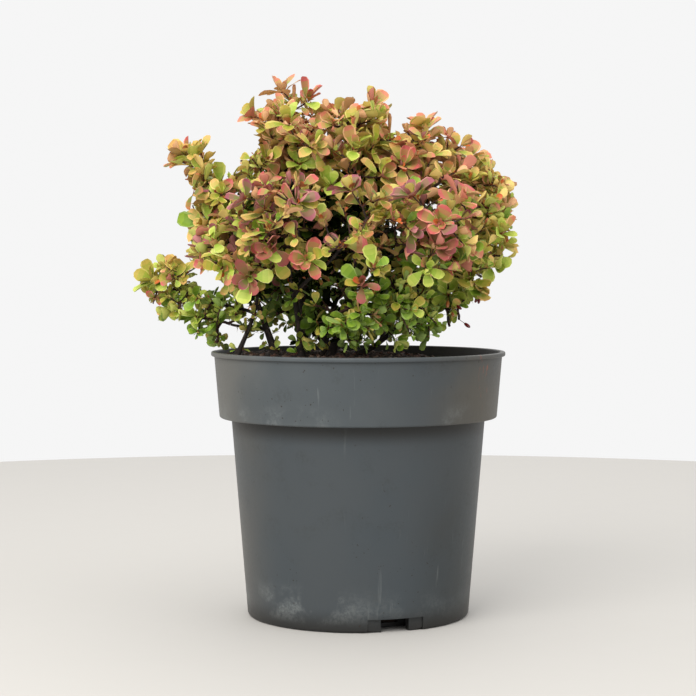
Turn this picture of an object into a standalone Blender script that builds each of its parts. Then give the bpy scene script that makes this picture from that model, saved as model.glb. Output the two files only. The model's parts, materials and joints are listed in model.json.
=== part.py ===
"""Japanese barberry in its nursery pot: a low, dense, many-stemmed shrub.

The frame is metres with +Z up. The origin is the middle of the pot's flat underside, and the
shrub is seen from -Y. Seven stems rise from the potting soil, each carries boughs, and each
stem or bough ends where it enters a mass of foliage. Masses, limbs, soil and pot lie a
sliver apart, so that each stays its own solid.
"""

import math
import random

import bmesh
import bpy
from mathutils import Matrix, Vector
from mathutils.bvhtree import BVHTree

MM = 0.001
CLEARANCE = 0.3 * MM
WELD = 0.0005 * MM

# Pot, a 12 litre nursery container
POT_HEIGHT = 251.3 * MM
RIM_RADIUS = 140.2 * MM
BAND_TOP_RADIUS = 137.2 * MM
BAND_FOOT_RADIUS = 132.4 * MM
BAND_HEIGHT = 62.5 * MM
BODY_TOP_RADIUS = 121.0 * MM
BASE_RADIUS = 105.6 * MM
BASE_ROUNDING = 3.5 * MM
BAND_EDGE = 1.6 * MM
RIM_ROUNDING = 1.1 * MM
LEDGE_DROP = 4.0 * MM
BEAD_HEIGHT = 4.2 * MM
WALL = 2.2 * MM
FLOOR = 2.6 * MM
POT_SIDES = 36

# Drainage pockets under the pot's edge
POCKETS = 3
POCKET_ANGLE = math.radians(-71.0)
POCKET_WIDTH = 54.0 * MM
POCKET_HEIGHT = 12.5 * MM
POCKET_DEPTH = 27.0 * MM
LUG_WIDTH = 14.5 * MM
LUG_SETBACK = 4.5 * MM
LUG_DEPTH = 9.0 * MM
WALL_INSET = 0.5 * MM
DRAIN_WIDTH = 22.0 * MM
DRAIN_HEIGHT = 7.0 * MM

# Potting soil, level round the stems' feet and lower towards the right
SOIL_TOP = 246.0 * MM
SOIL_EDGE = 237.0 * MM
SOIL_HEART = Vector((-45.0, 2.0)) * MM
SOIL_FLAT_RADIUS = 86.0 * MM
SOIL_FALL = 80.0 * MM
SOIL_RINGS = (0.88, 0.65, 0.35)
SOIL_SIDES = 28

# Limbs: the radius at a stem's foot and tip, and at a bough's
STEM_RADII = (3.9 * MM, 2.0 * MM)
BOUGH_RADII = (2.0 * MM, 1.35 * MM)
FLARE = 0.55
FLARE_REACH = 0.10
STEM_SIDES = 6
BOUGH_SIDES = 5
STEM_STEPS = 7
BOUGH_STEPS = 4
MASS_ENTRY = 0.55

# Foliage
TWIG_RADII = (1.6 * MM, 1.2 * MM)
TWIG_SIDES = 3
TWIG_STEPS = 3
TWIGS_PER_MASS = 5
TWIG_DRAWS = 90
TWIG_NEAREST = 22.0 * MM
TWIG_SHELL = (0.4, 0.8)
MAIN_TWIG_REACH = 0.4
JOINT_SHARES = (0.2, 0.8)
JOINT_REACH = 0.85
LEAF_LENGTH = 32.0 * MM
LEAF_WIDTH = 23.5 * MM
LEAF_WIDEST = 0.62
LEAF_KEEL = 1.2 * MM
LEAF_SPACING = 5.8 * MM
FIRST_LEAF = 0.25
CROWN_HEART = Vector((-25.0, 0.0, 345.0)) * MM
GOLDEN_TURN = math.radians(137.5)
LEAF_TILT = (72.0, 48.0)
END_TILT = 12.0
LEAF_ROOT = 0.4 * MM
BLADE_START = 3.0 * MM
BLADE_EDGE = 0.35 * MM
# How much a blade faces away from the crown's heart, along its twig, and up
FACE_OUT, FACE_ALONG, FACE_UP = 0.9, 0.3, 0.4
# Where a leaf finds no room it is tried again: degrees of lean, degrees of turn, size
LEAF_TRIES = ((0, 0, 1.0), (-16, 20, 0.95), (12, -25, 0.95), (-8, 50, 0.9), (0, -60, 0.9), (-30, 0, 0.75))
LOWEST_LEAF = POT_HEIGHT + 1.2 * MM
BERRY_STALK = 9.0 * MM
BERRY_LENGTH = 9.0 * MM
BERRY_RADIUS = 2.6 * MM
BERRY_SIDES = 4


class Stem:
    """A stem from its foot on the soil, in millimetres, to the mass that it ends in: it leaves
    the foot along `rise`, then leans over and enters the mass along `arrive`."""

    def __init__(self, foot, mass, rise, arrive, size=1.0):
        self.foot = Vector((foot[0] * MM, foot[1] * MM, SOIL_TOP + CLEARANCE))
        self.mass = mass
        self.rise = Vector(rise).normalized()
        self.arrive = Vector(arrive).normalized()
        self.size = size


class Mass:
    """A mass of foliage in millimetres: its centre and reach, the limb that carries it, the
    share of the stem at which its bough leaves (None where the stem itself ends in it), and
    the tip of a sprig that stands out of it."""

    def __init__(self, stem, share, centre, reach, tip=None, berries=0):
        self.stem = stem
        self.share = share
        self.centre = Vector(centre) * MM
        self.reach = reach * MM
        self.tip = Vector(tip) * MM if tip else None
        self.berries = berries


STEMS = {
    "stem_left": Stem((-78, -4), "leaves_left_top", (-0.35, 0, 1), (-0.3, 0, 1)),
    "stem_shoot": Stem((-115, -16), "leaves_left", (0.4, -0.1, 1), (-0.3, -0.6, 1), size=0.7),
    "stem_front": Stem((-54, -22), "leaves_front_left", (0, -0.3, 1), (-0.1, -0.6, 1)),
    "stem_middle": Stem((-50, 8), "leaves_top_left", (-0.1, 0, 1), (-0.2, -0.1, 1), size=1.2),
    "stem_right": Stem((-26, -9), "leaves_top", (0.3, -0.1, 1), (-0.2, 0, 1), size=1.1),
    "stem_back": Stem((-32, 30), "leaves_back", (0, 0.3, 1), (0.1, 0.6, 1)),
    "stem_low": Stem((-4, 8), "leaves_right_low", (1, 0, 0.3), (1, -0.1, 0.3), size=0.85),
}

MASSES = {
    "leaves_far_left": Mass("stem_left", 0.30, (-170, -12, 308), 36, tip=(-188, -16, 318)),
    "leaves_left_low": Mass("stem_left", 0.20, (-140, -6, 280), 34),
    "leaves_left": Mass("stem_shoot", None, (-103, -58, 345), 48),
    "leaves_left_top": Mass("stem_left", None, (-126, -10, 392), 46, tip=(-162, -12, 436)),
    "leaves_left_back": Mass("stem_left", 0.62, (-120, 48, 348), 47),
    "leaves_top_left": Mass("stem_middle", None, (-68, -14, 448), 50, tip=(-62, -14, 488)),
    "leaves_top_back_left": Mass("stem_middle", 0.72, (-64, 52, 430), 48),
    "leaves_inner": Mass("stem_middle", 0.55, (-28, -22, 390), 42),
    "leaves_front_left": Mass("stem_front", None, (-68, -98, 372), 50),
    "leaves_front": Mass("stem_front", 0.55, (-2, -110, 362), 52),
    "leaves_front_low": Mass("stem_front", 0.22, (-12, -72, 291), 40),
    "leaves_top": Mass("stem_right", None, (-6, -22, 444), 50, tip=(14, -16, 478)),
    "leaves_top_right": Mass("stem_right", 0.80, (64, -16, 424), 48, tip=(66, -14, 454)),
    "leaves_right_top": Mass("stem_right", 0.62, (108, 0, 396), 46, tip=(124, -2, 412)),
    "leaves_front_right": Mass("stem_right", 0.45, (66, -86, 362), 50),
    "leaves_front_right_low": Mass("stem_right", 0.20, (48, -54, 296), 42),
    "leaves_back": Mass("stem_back", None, (-10, 108, 362), 54),
    "leaves_back_left": Mass("stem_back", 0.55, (-84, 86, 368), 52),
    "leaves_back_left_low": Mass("stem_back", 0.25, (-70, 82, 304), 42),
    "leaves_top_back_right": Mass("stem_back", 0.80, (24, 54, 434), 48),
    "leaves_right_low": Mass("stem_low", None, (90, -8, 300), 36, berries=4),
    "leaves_right": Mass("stem_low", 0.80, (112, -22, 338), 42, tip=(128, -24, 348)),
    "leaves_right_back": Mass("stem_low", 0.55, (84, 70, 362), 50),
    "leaves_back_right_low": Mass("stem_low", 0.30, (32, 84, 298), 44),
}


def clear_scene():
    for thing in list(bpy.data.objects):
        bpy.data.objects.remove(thing, do_unlink=True)


def make_material(name, colour, roughness, metallic=0.0):
    material = bpy.data.materials.new(name)
    material.use_nodes = True
    shader = material.node_tree.nodes["Principled BSDF"]
    shader.inputs["Base Color"].default_value = (*colour, 1.0)
    shader.inputs["Roughness"].default_value = roughness
    shader.inputs["Metallic"].default_value = metallic
    return material


def add_object(name, shape, material=None, collection=None):
    """Turns a bmesh into a named object, and frees the bmesh."""
    mesh = bpy.data.meshes.new(name)
    shape.to_mesh(mesh)
    shape.free()
    made = bpy.data.objects.new(name, mesh)
    (collection or bpy.context.scene.collection).objects.link(made)
    if material:
        mesh.materials.append(material)
    return made


def add_boolean(target, other, operation):
    """Adds a live Boolean, and hides the other object as its cutter or helper."""
    other.hide_render = True
    other.display_type = "WIRE"
    modifier = target.modifiers.new(other.name, "BOOLEAN")
    modifier.operation = operation
    modifier.object = other
    modifier.solver = "EXACT"


def box(width, depth, height):
    """A box on the ground, its near face at X = 0, and its width across Y."""
    shape = bmesh.new()
    bmesh.ops.create_cube(shape, size=1.0)
    bmesh.ops.scale(shape, vec=(depth, width, height), verts=shape.verts)
    bmesh.ops.translate(shape, vec=(depth / 2, 0, height / 2), verts=shape.verts)
    return shape


def turned(profile, sides):
    """A closed (radius, height) profile turned round Z."""
    shape = bmesh.new()
    points = [shape.verts.new((radius, 0.0, height)) for radius, height in profile]
    edges = [shape.edges.new((a, b)) for a, b in zip(points, points[1:] + points[:1])]
    bmesh.ops.spin(
        shape, geom=points + edges, cent=(0, 0, 0), axis=(0, 0, 1),
        angle=math.tau, steps=sides, use_merge=True,
    )
    bmesh.ops.remove_doubles(shape, verts=shape.verts, dist=1e-6)
    bmesh.ops.dissolve_degenerate(shape, edges=shape.edges, dist=1e-6)
    bmesh.ops.recalc_face_normals(shape, faces=shape.faces)
    return shape


def body_radius(height):
    """The pot's outer radius below the band."""
    share = height / (POT_HEIGHT - BAND_HEIGHT)
    return BASE_RADIUS + (BODY_TOP_RADIUS - BASE_RADIUS) * share


def pot_profile():
    """Outside from the middle of the underside up to the rim, then down the inside."""
    shoulder = POT_HEIGHT - BAND_HEIGHT
    corner = BASE_ROUNDING
    outside = [(0.0, 0.0), (BASE_RADIUS - corner, 0.0)]
    for step in range(1, 4):
        angle = math.radians(30 * step)
        outside.append((
            body_radius(corner) - corner * (1 - math.sin(angle)),
            corner * (1 - math.cos(angle)),
        ))
    outside += [
        (body_radius(shoulder), shoulder),
        (BAND_FOOT_RADIUS - BAND_EDGE, shoulder),
        (BAND_FOOT_RADIUS, shoulder + BAND_EDGE),
        (BAND_TOP_RADIUS, POT_HEIGHT - BEAD_HEIGHT),
        (RIM_RADIUS, POT_HEIGHT - BEAD_HEIGHT + RIM_ROUNDING),
        (RIM_RADIUS, POT_HEIGHT - RIM_ROUNDING),
        (RIM_RADIUS - RIM_ROUNDING, POT_HEIGHT),
    ]
    inside = [
        (BAND_TOP_RADIUS - WALL, POT_HEIGHT),
        (BAND_FOOT_RADIUS - WALL, shoulder + LEDGE_DROP),
        (body_radius(shoulder) - WALL, shoulder + LEDGE_DROP / 2),
        (body_radius(FLOOR) - WALL, FLOOR),
        (0.0, FLOOR),
    ]
    return outside + inside


def soil_height(x, y):
    """The soil's top, level round its heart and falling away from it."""
    away = (Vector((x, y)) - SOIL_HEART).length
    share = min(1.0, max(0.0, (away - SOIL_FLAT_RADIUS) / SOIL_FALL))
    return SOIL_TOP - (SOIL_TOP - SOIL_EDGE) * share * share * (3 - 2 * share)


def soil_profile():
    """The inside of the pot less a sliver, closed by a flat top of a few rings."""
    ledge_out, ledge_in, floor_edge = pot_profile()[-4:-1]
    inset = 2 * CLEARANCE
    slope = (BAND_TOP_RADIUS - BAND_FOOT_RADIUS) / (BAND_HEIGHT - LEDGE_DROP)
    edge = ledge_out[0] - inset + slope * (SOIL_EDGE - ledge_out[1])
    sides = [
        (0.0, FLOOR + CLEARANCE),
        (floor_edge[0] - inset, FLOOR + CLEARANCE),
        (ledge_in[0] - inset, ledge_in[1] + CLEARANCE),
        (ledge_out[0] - inset, ledge_out[1] + inset),
        (edge, SOIL_TOP),
    ]
    return sides + [(edge * share, SOIL_TOP) for share in SOIL_RINGS] + [(0.0, SOIL_TOP)]


def pocket_turns():
    """The turn that carries a shape lying along +X to each drainage pocket."""
    for index in range(POCKETS):
        yield index, Matrix.Rotation(POCKET_ANGLE + index * math.tau / POCKETS, 4, "Z")


def at_pocket(name, shape, turn, out, up, across=0.0):
    bmesh.ops.translate(shape, vec=(out, across, up), verts=shape.verts)
    bmesh.ops.transform(shape, matrix=turn, verts=shape.verts)
    return add_object(name, shape)


def make_pocket_room():
    """The solid room inside the pot's outer face, which trims what is built into its foot."""
    top = 2 * POCKET_HEIGHT
    profile = [
        (0.0, 0.0),
        (BASE_RADIUS - BASE_ROUNDING - WALL_INSET, 0.0),
        (body_radius(BASE_ROUNDING) - WALL_INSET, BASE_ROUNDING),
        (body_radius(top) - WALL_INSET, top),
        (0.0, top),
    ]
    room = add_object("pocket_room", turned(profile, POT_SIDES))
    room.hide_render = True
    room.display_type = "WIRE"
    return room


def make_pot(material):
    pot = add_object("pot", turned(pot_profile(), POT_SIDES), material)
    room = make_pocket_room()
    housing_in = BASE_RADIUS - POCKET_DEPTH - FLOOR
    for index, turn in pocket_turns():
        housing = box(POCKET_WIDTH + 2 * WALL, 2 * POCKET_DEPTH, POCKET_HEIGHT + WALL)
        housing = at_pocket(f"housing_{index}", housing, turn, housing_in, 0.1 * MM)
        add_boolean(housing, room, "INTERSECT")
        add_boolean(pot, housing, "UNION")
        pocket = box(POCKET_WIDTH, 2 * POCKET_DEPTH, 2 * POCKET_HEIGHT)
        pocket = at_pocket(f"pocket_{index}", pocket, turn, housing_in + FLOOR, -POCKET_HEIGHT)
        add_boolean(pot, pocket, "DIFFERENCE")
        drain = box(DRAIN_WIDTH, 10 * MM, DRAIN_HEIGHT)
        drain = at_pocket(f"drain_{index}", drain, turn, housing_in - 5 * MM, 4 * MM)
        add_boolean(pot, drain, "DIFFERENCE")
        for side, hand in ((-1, "left"), (1, "right")):
            lug = box(LUG_WIDTH, LUG_DEPTH, POCKET_HEIGHT + WALL / 2)
            lug_in = BASE_RADIUS - LUG_SETBACK - LUG_DEPTH
            along = side * (POCKET_WIDTH - LUG_WIDTH + WALL) / 2
            lug = at_pocket(f"lug_{index}_{hand}", lug, turn, lug_in, 0.0, along)
            add_boolean(lug, room, "INTERSECT")
            add_boolean(pot, lug, "UNION")
    return pot


def make_soil(material):
    shape = turned(soil_profile(), SOIL_SIDES)
    for vert in shape.verts:
        if vert.co.z > SOIL_TOP - CLEARANCE:
            vert.co.z = soil_height(vert.co.x, vert.co.y)
    soil = add_object("potting_soil", shape, material)
    side = POCKET_WIDTH + 2 * (WALL + CLEARANCE)
    height = POCKET_HEIGHT + WALL + CLEARANCE + 0.1 * MM
    out = BASE_RADIUS - POCKET_DEPTH - FLOOR - CLEARANCE
    for index, turn in pocket_turns():
        hollow = box(side, 2 * POCKET_DEPTH, 2 * height)
        hollow = at_pocket(f"hollow_{index}", hollow, turn, out, -height)
        add_boolean(soil, hollow, "DIFFERENCE")
    return soil


def curve_points(start, start_way, end, end_way, steps, pull=0.36):
    """Points of one smooth arc that leaves and arrives along the given ways."""
    reach = (end - start).length * pull
    a, b = start + start_way * reach, end - end_way * reach
    points = []
    for step in range(steps + 1):
        t = step / steps
        s = 1 - t
        points.append(start * s**3 + a * 3 * s * s * t + b * 3 * s * t * t + end * t**3)
    return points


def across(way):
    """Two unit vectors square to a way and to each other."""
    side = way.cross(Vector((0, 1, 0)) if abs(way.y) < 0.9 else Vector((1, 0, 0))).normalized()
    return side, way.cross(side).normalized()


def tube(points, radii, sides, foot_way=None, flat_foot=False):
    """A closed tapering tube round a path. Its foot is cut square to foot_way where that is
    given, and level where flat_foot is set."""
    shape = bmesh.new()
    rings = []
    side = None
    for index, point in enumerate(points):
        ahead = points[min(index + 1, len(points) - 1)]
        behind = points[max(index - 1, 0)]
        way = (ahead - behind).normalized()
        if index == 0 and foot_way:
            way = foot_way
        if side is None:
            side, _ = across(way)
        side = (side - way * side.dot(way)).normalized()
        other = way.cross(side)
        ring = []
        for step in range(sides):
            angle = math.tau * step / sides
            corner = point + (side * math.cos(angle) + other * math.sin(angle)) * radii[index]
            if flat_foot and index == 0:
                corner -= way * ((corner.z - point.z) / way.z)
            ring.append(shape.verts.new(corner))
        rings.append(ring)
    for low, high in zip(rings, rings[1:]):
        for step in range(sides):
            after = (step + 1) % sides
            shape.faces.new((low[step], low[after], high[after], high[step]))
    shape.faces.new(list(reversed(rings[0])))
    shape.faces.new(rings[-1])
    bmesh.ops.recalc_face_normals(shape, faces=shape.faces)
    return shape


class Limb:
    """A limb's path and radii, with the tubes that are built and tested from them."""

    def __init__(self, name, points, radii, sides, flat_foot=False):
        self.name = name
        self.points = points
        self.radii = radii
        self.sides = sides
        self.flat_foot = flat_foot

    def shape(self, wider=0.0):
        radii = [radius + wider for radius in self.radii]
        return tube(self.points, radii, self.sides, flat_foot=self.flat_foot)

    def at(self, share):
        return point_along(self.points, share)

    @property
    def tip_way(self):
        return (self.points[-1] - self.points[-2]).normalized()


def tapered(radii, steps):
    return [radii[0] + (radii[1] - radii[0]) * step / steps for step in range(steps + 1)]


def stem_limb(name, stem):
    mass = MASSES[stem.mass]
    tip = mass.centre - stem.arrive * mass.reach * MASS_ENTRY
    points = curve_points(stem.foot, stem.rise, tip, stem.arrive, STEM_STEPS)
    radii = []
    for step, radius in enumerate(tapered(STEM_RADII, STEM_STEPS)):
        share = step / STEM_STEPS
        radii.append(radius * stem.size * (1 + FLARE * math.exp(-share / FLARE_REACH)))
    return Limb(name, points, radii, STEM_SIDES, flat_foot=True)


def bough_limb(name, mass, stem):
    """A bough leaves its stem's axis and ends where it enters its mass."""
    start, stem_way = stem.at(mass.share)
    toward = (mass.centre - start).normalized()
    end = mass.centre - toward * mass.reach * MASS_ENTRY
    leave = (stem_way * 0.45 + toward).normalized()
    arrive = (toward + Vector((0, 0, 0.18))).normalized()
    points = curve_points(start, leave, end, arrive, BOUGH_STEPS)
    return Limb(name, points, tapered(BOUGH_RADII, BOUGH_STEPS), BOUGH_SIDES)


def surface_tree(shape):
    tree = BVHTree.FromBMesh(shape)
    shape.free()
    return tree


class Space:
    """The room of one mass: above the pot's rim, and on its own side of the plane where its
    reach meets each neighbour's."""

    def __init__(self, name):
        self.mass = MASSES[name]
        self.others = [mass for other, mass in MASSES.items() if other != name]

    def holds(self, point, margin=BLADE_EDGE):
        mass = self.mass
        if point.z < LOWEST_LEAF:
            return False
        for other in self.others:
            apart = other.centre - mass.centre
            own = (point - mass.centre).length_squared - mass.reach**2
            theirs = (point - other.centre).length_squared - other.reach**2
            if (theirs - own) / (2 * apart.length) < margin:
                return False
        return True


class Growth:
    """The seeded rule by which one mass grows: a main twig from the limb's tip, side twigs to
    evenly spread places, and leaves turned round each twig up to its end."""

    def __init__(self, name, limb, obstacles):
        self.name = name
        self.mass = MASSES[name]
        self.limb = limb
        self.space = Space(name)
        self.obstacles = obstacles
        self.rng = random.Random(name)
        self.solids = []
        self.taken = []
        self.twigs = []

    def keep(self, shape, outside=None):
        """Keeps a solid that has room, and says whether it had. `outside` is a leaf's part
        outside its twig, which may not cross a twig or another leaf."""
        if not all(self.space.holds(vert.co) for vert in shape.verts):
            shape.free()
            return False
        tree = BVHTree.FromBMesh(shape)
        has_room = not any(tree.overlap(other) for other in self.obstacles)
        if has_room and outside:
            tree = surface_tree(outside)
            has_room = not any(tree.overlap(other) for other in self.taken)
        if has_room:
            self.solids.append(shape)
            self.taken.append(tree)
        else:
            shape.free()
        return has_room

    def grow_twig(self, start, start_way, end, radius):
        end_way = (end - start).normalized()
        points = curve_points(start, start_way, end, end_way, TWIG_STEPS)
        radii = tapered((radius, TWIG_RADII[1]), TWIG_STEPS)
        if self.keep(tube(points, radii, TWIG_SIDES, foot_way=start_way)):
            self.twigs.append(points)
            return True
        return False

    def grow_main_twig(self):
        self.start = self.limb.points[-1] + self.limb.tip_way * CLEARANCE
        end = self.mass.tip or self.mass.centre + self.limb.tip_way * self.mass.reach * MAIN_TWIG_REACH
        if not self.grow_twig(self.start, self.limb.tip_way, end, TWIG_RADII[0]):
            raise RuntimeError(f"{self.name}: the main twig has no room")

    def twig_ends(self, count):
        """Places for twigs' ends, each the furthest of many draws from those before it."""
        mass, rng = self.mass, self.rng
        taken = [twig[-1] for twig in self.twigs]
        for _ in range(count):
            best, best_gap = None, TWIG_NEAREST
            for _ in range(TWIG_DRAWS):
                way = Vector([rng.gauss(0, 1) for _ in range(3)]).normalized()
                place = mass.centre + way * mass.reach * rng.uniform(*TWIG_SHELL)
                if not self.space.holds(place, margin=0.15 * LEAF_LENGTH):
                    continue
                gap = min((place - other).length for other in taken)
                if gap > best_gap:
                    best, best_gap = place, gap
            if best is None:
                return
            taken.append(best)
            yield best

    def nearest_joint(self, place):
        """The point of the twigs, nearer the limb than the place is, that is closest to it."""
        reach = (place - self.start).length
        found = None
        for twig in self.twigs:
            for a, b in zip(twig, twig[1:]):
                for share in JOINT_SHARES:
                    joint = a.lerp(b, share)
                    if (joint - self.start).length > reach * JOINT_REACH:
                        continue
                    gap = (joint - place).length
                    if found is None or gap < found[0]:
                        found = (gap, joint, (b - a).normalized())
        return found

    def grow_side_twigs(self):
        for place in self.twig_ends(TWIGS_PER_MASS - 1):
            found = self.nearest_joint(place)
            if found is None:
                continue
            _, joint, way = found
            toward = (place - joint).normalized()
            self.grow_twig(joint, (way * 0.5 + toward).normalized(), place, TWIG_RADII[1])

    def grow_leaves(self):
        """Leaves turn round each twig at the golden angle, and lean on it more towards its
        end, which one last leaf carries on."""
        for twig in self.twigs:
            length = sum((b - a).length for a, b in zip(twig, twig[1:]))
            count = max(2, round(length * (1 - FIRST_LEAF) / LEAF_SPACING))
            around = self.rng.uniform(0, math.tau)
            for index in range(count):
                share = FIRST_LEAF + (1 - FIRST_LEAF) * index / count
                root, way = point_along(twig, share)
                first, last = LEAF_TILT
                self.grow_leaf(root, way, around, first + (last - first) * index / count)
                around += GOLDEN_TURN
            end, way = point_along(twig, 1.0)
            self.grow_leaf(end - way * TWIG_RADII[1] * 0.5, way, around, END_TILT)

    def grow_leaf(self, root, way, around, tilt):
        """A leaf that leans from its twig, turned or drawn in where it finds no room."""
        side, other = across(way)
        tilt += self.rng.uniform(-8, 8)
        size = self.rng.uniform(0.85, 1.1)
        outward = (root - CROWN_HEART).normalized()
        for lean, swing, shrink in LEAF_TRIES:
            angle = math.radians(max(8.0, tilt + lean))
            turned_to = around + math.radians(swing)
            flat = side * math.cos(turned_to) + other * math.sin(turned_to)
            ahead = way * math.cos(angle) + flat * math.sin(angle)
            up = outward * FACE_OUT + way * FACE_ALONG + Vector((0, 0, FACE_UP))
            outside = leaf(root + ahead * BLADE_START, ahead, up, size * shrink)
            if self.keep(leaf(root - ahead * LEAF_ROOT, ahead, up, size * shrink), outside):
                return

    def grow_berries(self):
        """Berries that hang on thin stalks under the outermost twigs."""
        outermost = sorted(self.twigs, key=lambda twig: -twig[-1].x)
        for index in range(self.mass.berries):
            root, _ = point_along(outermost[index % len(outermost)], 0.6)
            lean = Vector((self.rng.uniform(0.1, 0.7), self.rng.uniform(-0.6, 0.2), -1.0))
            self.keep(berry(root, lean.normalized()))

    def grow(self):
        self.grow_main_twig()
        self.grow_side_twigs()
        self.grow_berries()
        self.grow_leaves()
        return self.solids


def point_along(points, share):
    """The point and the way at a share of a path, by the path's steps."""
    place = share * (len(points) - 1)
    index = min(int(place), len(points) - 2)
    a, b = points[index], points[index + 1]
    return a.lerp(b, place - index), (b - a).normalized()


def leaf(root, ahead, up, size):
    """A spoon-shaped leaf with a blunt end: eight triangles from one sunk root, keeled below,
    its upper side towards `up`."""
    above = up - ahead * up.dot(ahead)
    above = above.normalized() if above.length > 0.05 else across(ahead)[0]
    beside = ahead.cross(above)
    length, half = LEAF_LENGTH * size, LEAF_WIDTH * size / 2

    def point(along, aside, lift):
        return root + ahead * along + beside * aside + above * lift

    shape = bmesh.new()
    new = shape.verts.new
    foot = new(root)
    keel = new(point(length * 0.4, 0, -LEAF_KEEL * size))
    left = new(point(length * LEAF_WIDEST, -half, length * 0.06))
    right = new(point(length * LEAF_WIDEST, half, length * 0.06))
    tip_left = new(point(length, -half * 0.45, length * 0.02))
    tip_right = new(point(length, half * 0.45, length * 0.02))
    for corners in (
        (foot, right, left),
        (left, right, tip_right),
        (left, tip_right, tip_left),
        (foot, left, keel),
        (foot, keel, right),
        (keel, left, tip_left),
        (keel, tip_left, tip_right),
        (keel, tip_right, right),
    ):
        shape.faces.new(corners)
    bmesh.ops.recalc_face_normals(shape, faces=shape.faces)
    return shape


def berry(root, ahead):
    """A long berry on its stalk, as one spindle."""
    points = [root] + [root + ahead * (BERRY_STALK + BERRY_LENGTH * share) for share in (0, 0.3, 0.7, 1)]
    radii = (0.6 * MM, 0.6 * MM, BERRY_RADIUS, BERRY_RADIUS, 0.8 * MM)
    return tube(points, radii, BERRY_SIDES)


def is_closed(shape):
    return all(len(edge.link_faces) == 2 for edge in shape.edges)


def signed_volume(faces):
    return sum(
        a.dot(b.cross(c)) / 6
        for face in faces
        for a, b, c in [[vert.co for vert in face.verts]]
    )


def one_body(shape):
    """Keeps only the largest outer surface, so that loose scraps go and sealed hollows fill."""
    left = set(shape.faces)
    pieces = []
    while left:
        todo, piece = [left.pop()], []
        while todo:
            face = todo.pop()
            piece.append(face)
            for edge in face.edges:
                for near in edge.link_faces:
                    if near in left:
                        left.remove(near)
                        todo.append(near)
        pieces.append(piece)
    pieces.sort(key=signed_volume)
    dropped = [face for piece in pieces[:-1] for face in piece]
    bmesh.ops.delete(shape, geom=dropped, context="FACES")


def fused(name, solids, solver):
    """One Boolean union of all the solids, as a triangulated bmesh."""
    group = bpy.data.collections.new(name + "_pieces")
    bpy.context.scene.collection.children.link(group)
    first = add_object(name + "_0", solids[0].copy())
    for index, solid in enumerate(solids[1:], 1):
        add_object(f"{name}_{index}", solid.copy(), collection=group)
    union = first.modifiers.new("union", "BOOLEAN")
    union.operation = "UNION"
    union.operand_type = "COLLECTION"
    union.collection = group
    union.solver = solver
    graph = bpy.context.evaluated_depsgraph_get()
    shape = bmesh.new()
    shape.from_mesh(first.evaluated_get(graph).to_mesh())
    for piece in [first, *group.objects]:
        bpy.data.objects.remove(piece, do_unlink=True)
    bpy.data.collections.remove(group)
    bmesh.ops.remove_doubles(shape, verts=shape.verts, dist=WELD)
    bmesh.ops.triangulate(shape, faces=shape.faces)
    one_body(shape)
    return shape


def make_mass(name, limb, obstacles, material):
    """Fuses one mass, by the second solver where the first fails, and then with fewer leaves."""
    solids = Growth(name, limb, obstacles).grow()
    while True:
        for solver in ("EXACT", "MANIFOLD"):
            shape = fused(name, solids, solver)
            if is_closed(shape):
                for solid in solids:
                    solid.free()
                return add_object(name, shape, material)
            shape.free()
        solids.pop().free()


def make_limbs(material):
    """Builds stems and boughs, and returns each mass's limb and the room that all limbs take."""
    stems = {name: stem_limb(name, stem) for name, stem in STEMS.items()}
    cutters = {}
    for name, limb in stems.items():
        add_object(name, limb.shape(), material)
        cutters[name] = add_object(name + "_room", limb.shape(CLEARANCE))
        cutters[name].hide_render = True
        cutters[name].display_type = "WIRE"
    carriers, limbs = {}, list(stems.values())
    for name, mass in MASSES.items():
        if mass.share is None:
            carriers[name] = stems[mass.stem]
            continue
        bough = bough_limb(name.replace("leaves", "bough"), mass, stems[mass.stem])
        add_boolean(add_object(bough.name, bough.shape(), material), cutters[mass.stem], "DIFFERENCE")
        carriers[name] = bough
        limbs.append(bough)
    return carriers, limbs


def main():
    clear_scene()
    make_pot(make_material("pot_plastic", (0.105, 0.118, 0.125), 0.48))
    make_soil(make_material("potting_soil", (0.055, 0.036, 0.024), 0.95))
    carriers, limbs = make_limbs(make_material("bark", (0.085, 0.062, 0.048), 0.85))
    rooms = {limb.name: surface_tree(limb.shape(CLEARANCE)) for limb in limbs}
    leaves = make_material("barberry_leaf", (0.36, 0.30, 0.09), 0.55)
    for name in MASSES:
        make_mass(name, carriers[name], list(rooms.values()), leaves)


if __name__ == "__main__":
    main()
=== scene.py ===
"""The looks of a japanese barberry in its nursery pot, laid out as an add-on.

The frame is metres with +Z up, and the shrub is seen from -Y. Each mass of foliage grows on
from its limb by one seeded rule: a main twig, side twigs to evenly spread places, finer twigs
between them, and rosettes of small spoon-shaped leaves turned round every twig.
"""

import functools
import json
import math
import random

import bmesh
import bpy
from bpy.props import FloatProperty, FloatVectorProperty, IntProperty, PointerProperty
from mathutils import Matrix, Vector, noise
from mathutils.kdtree import KDTree

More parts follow.
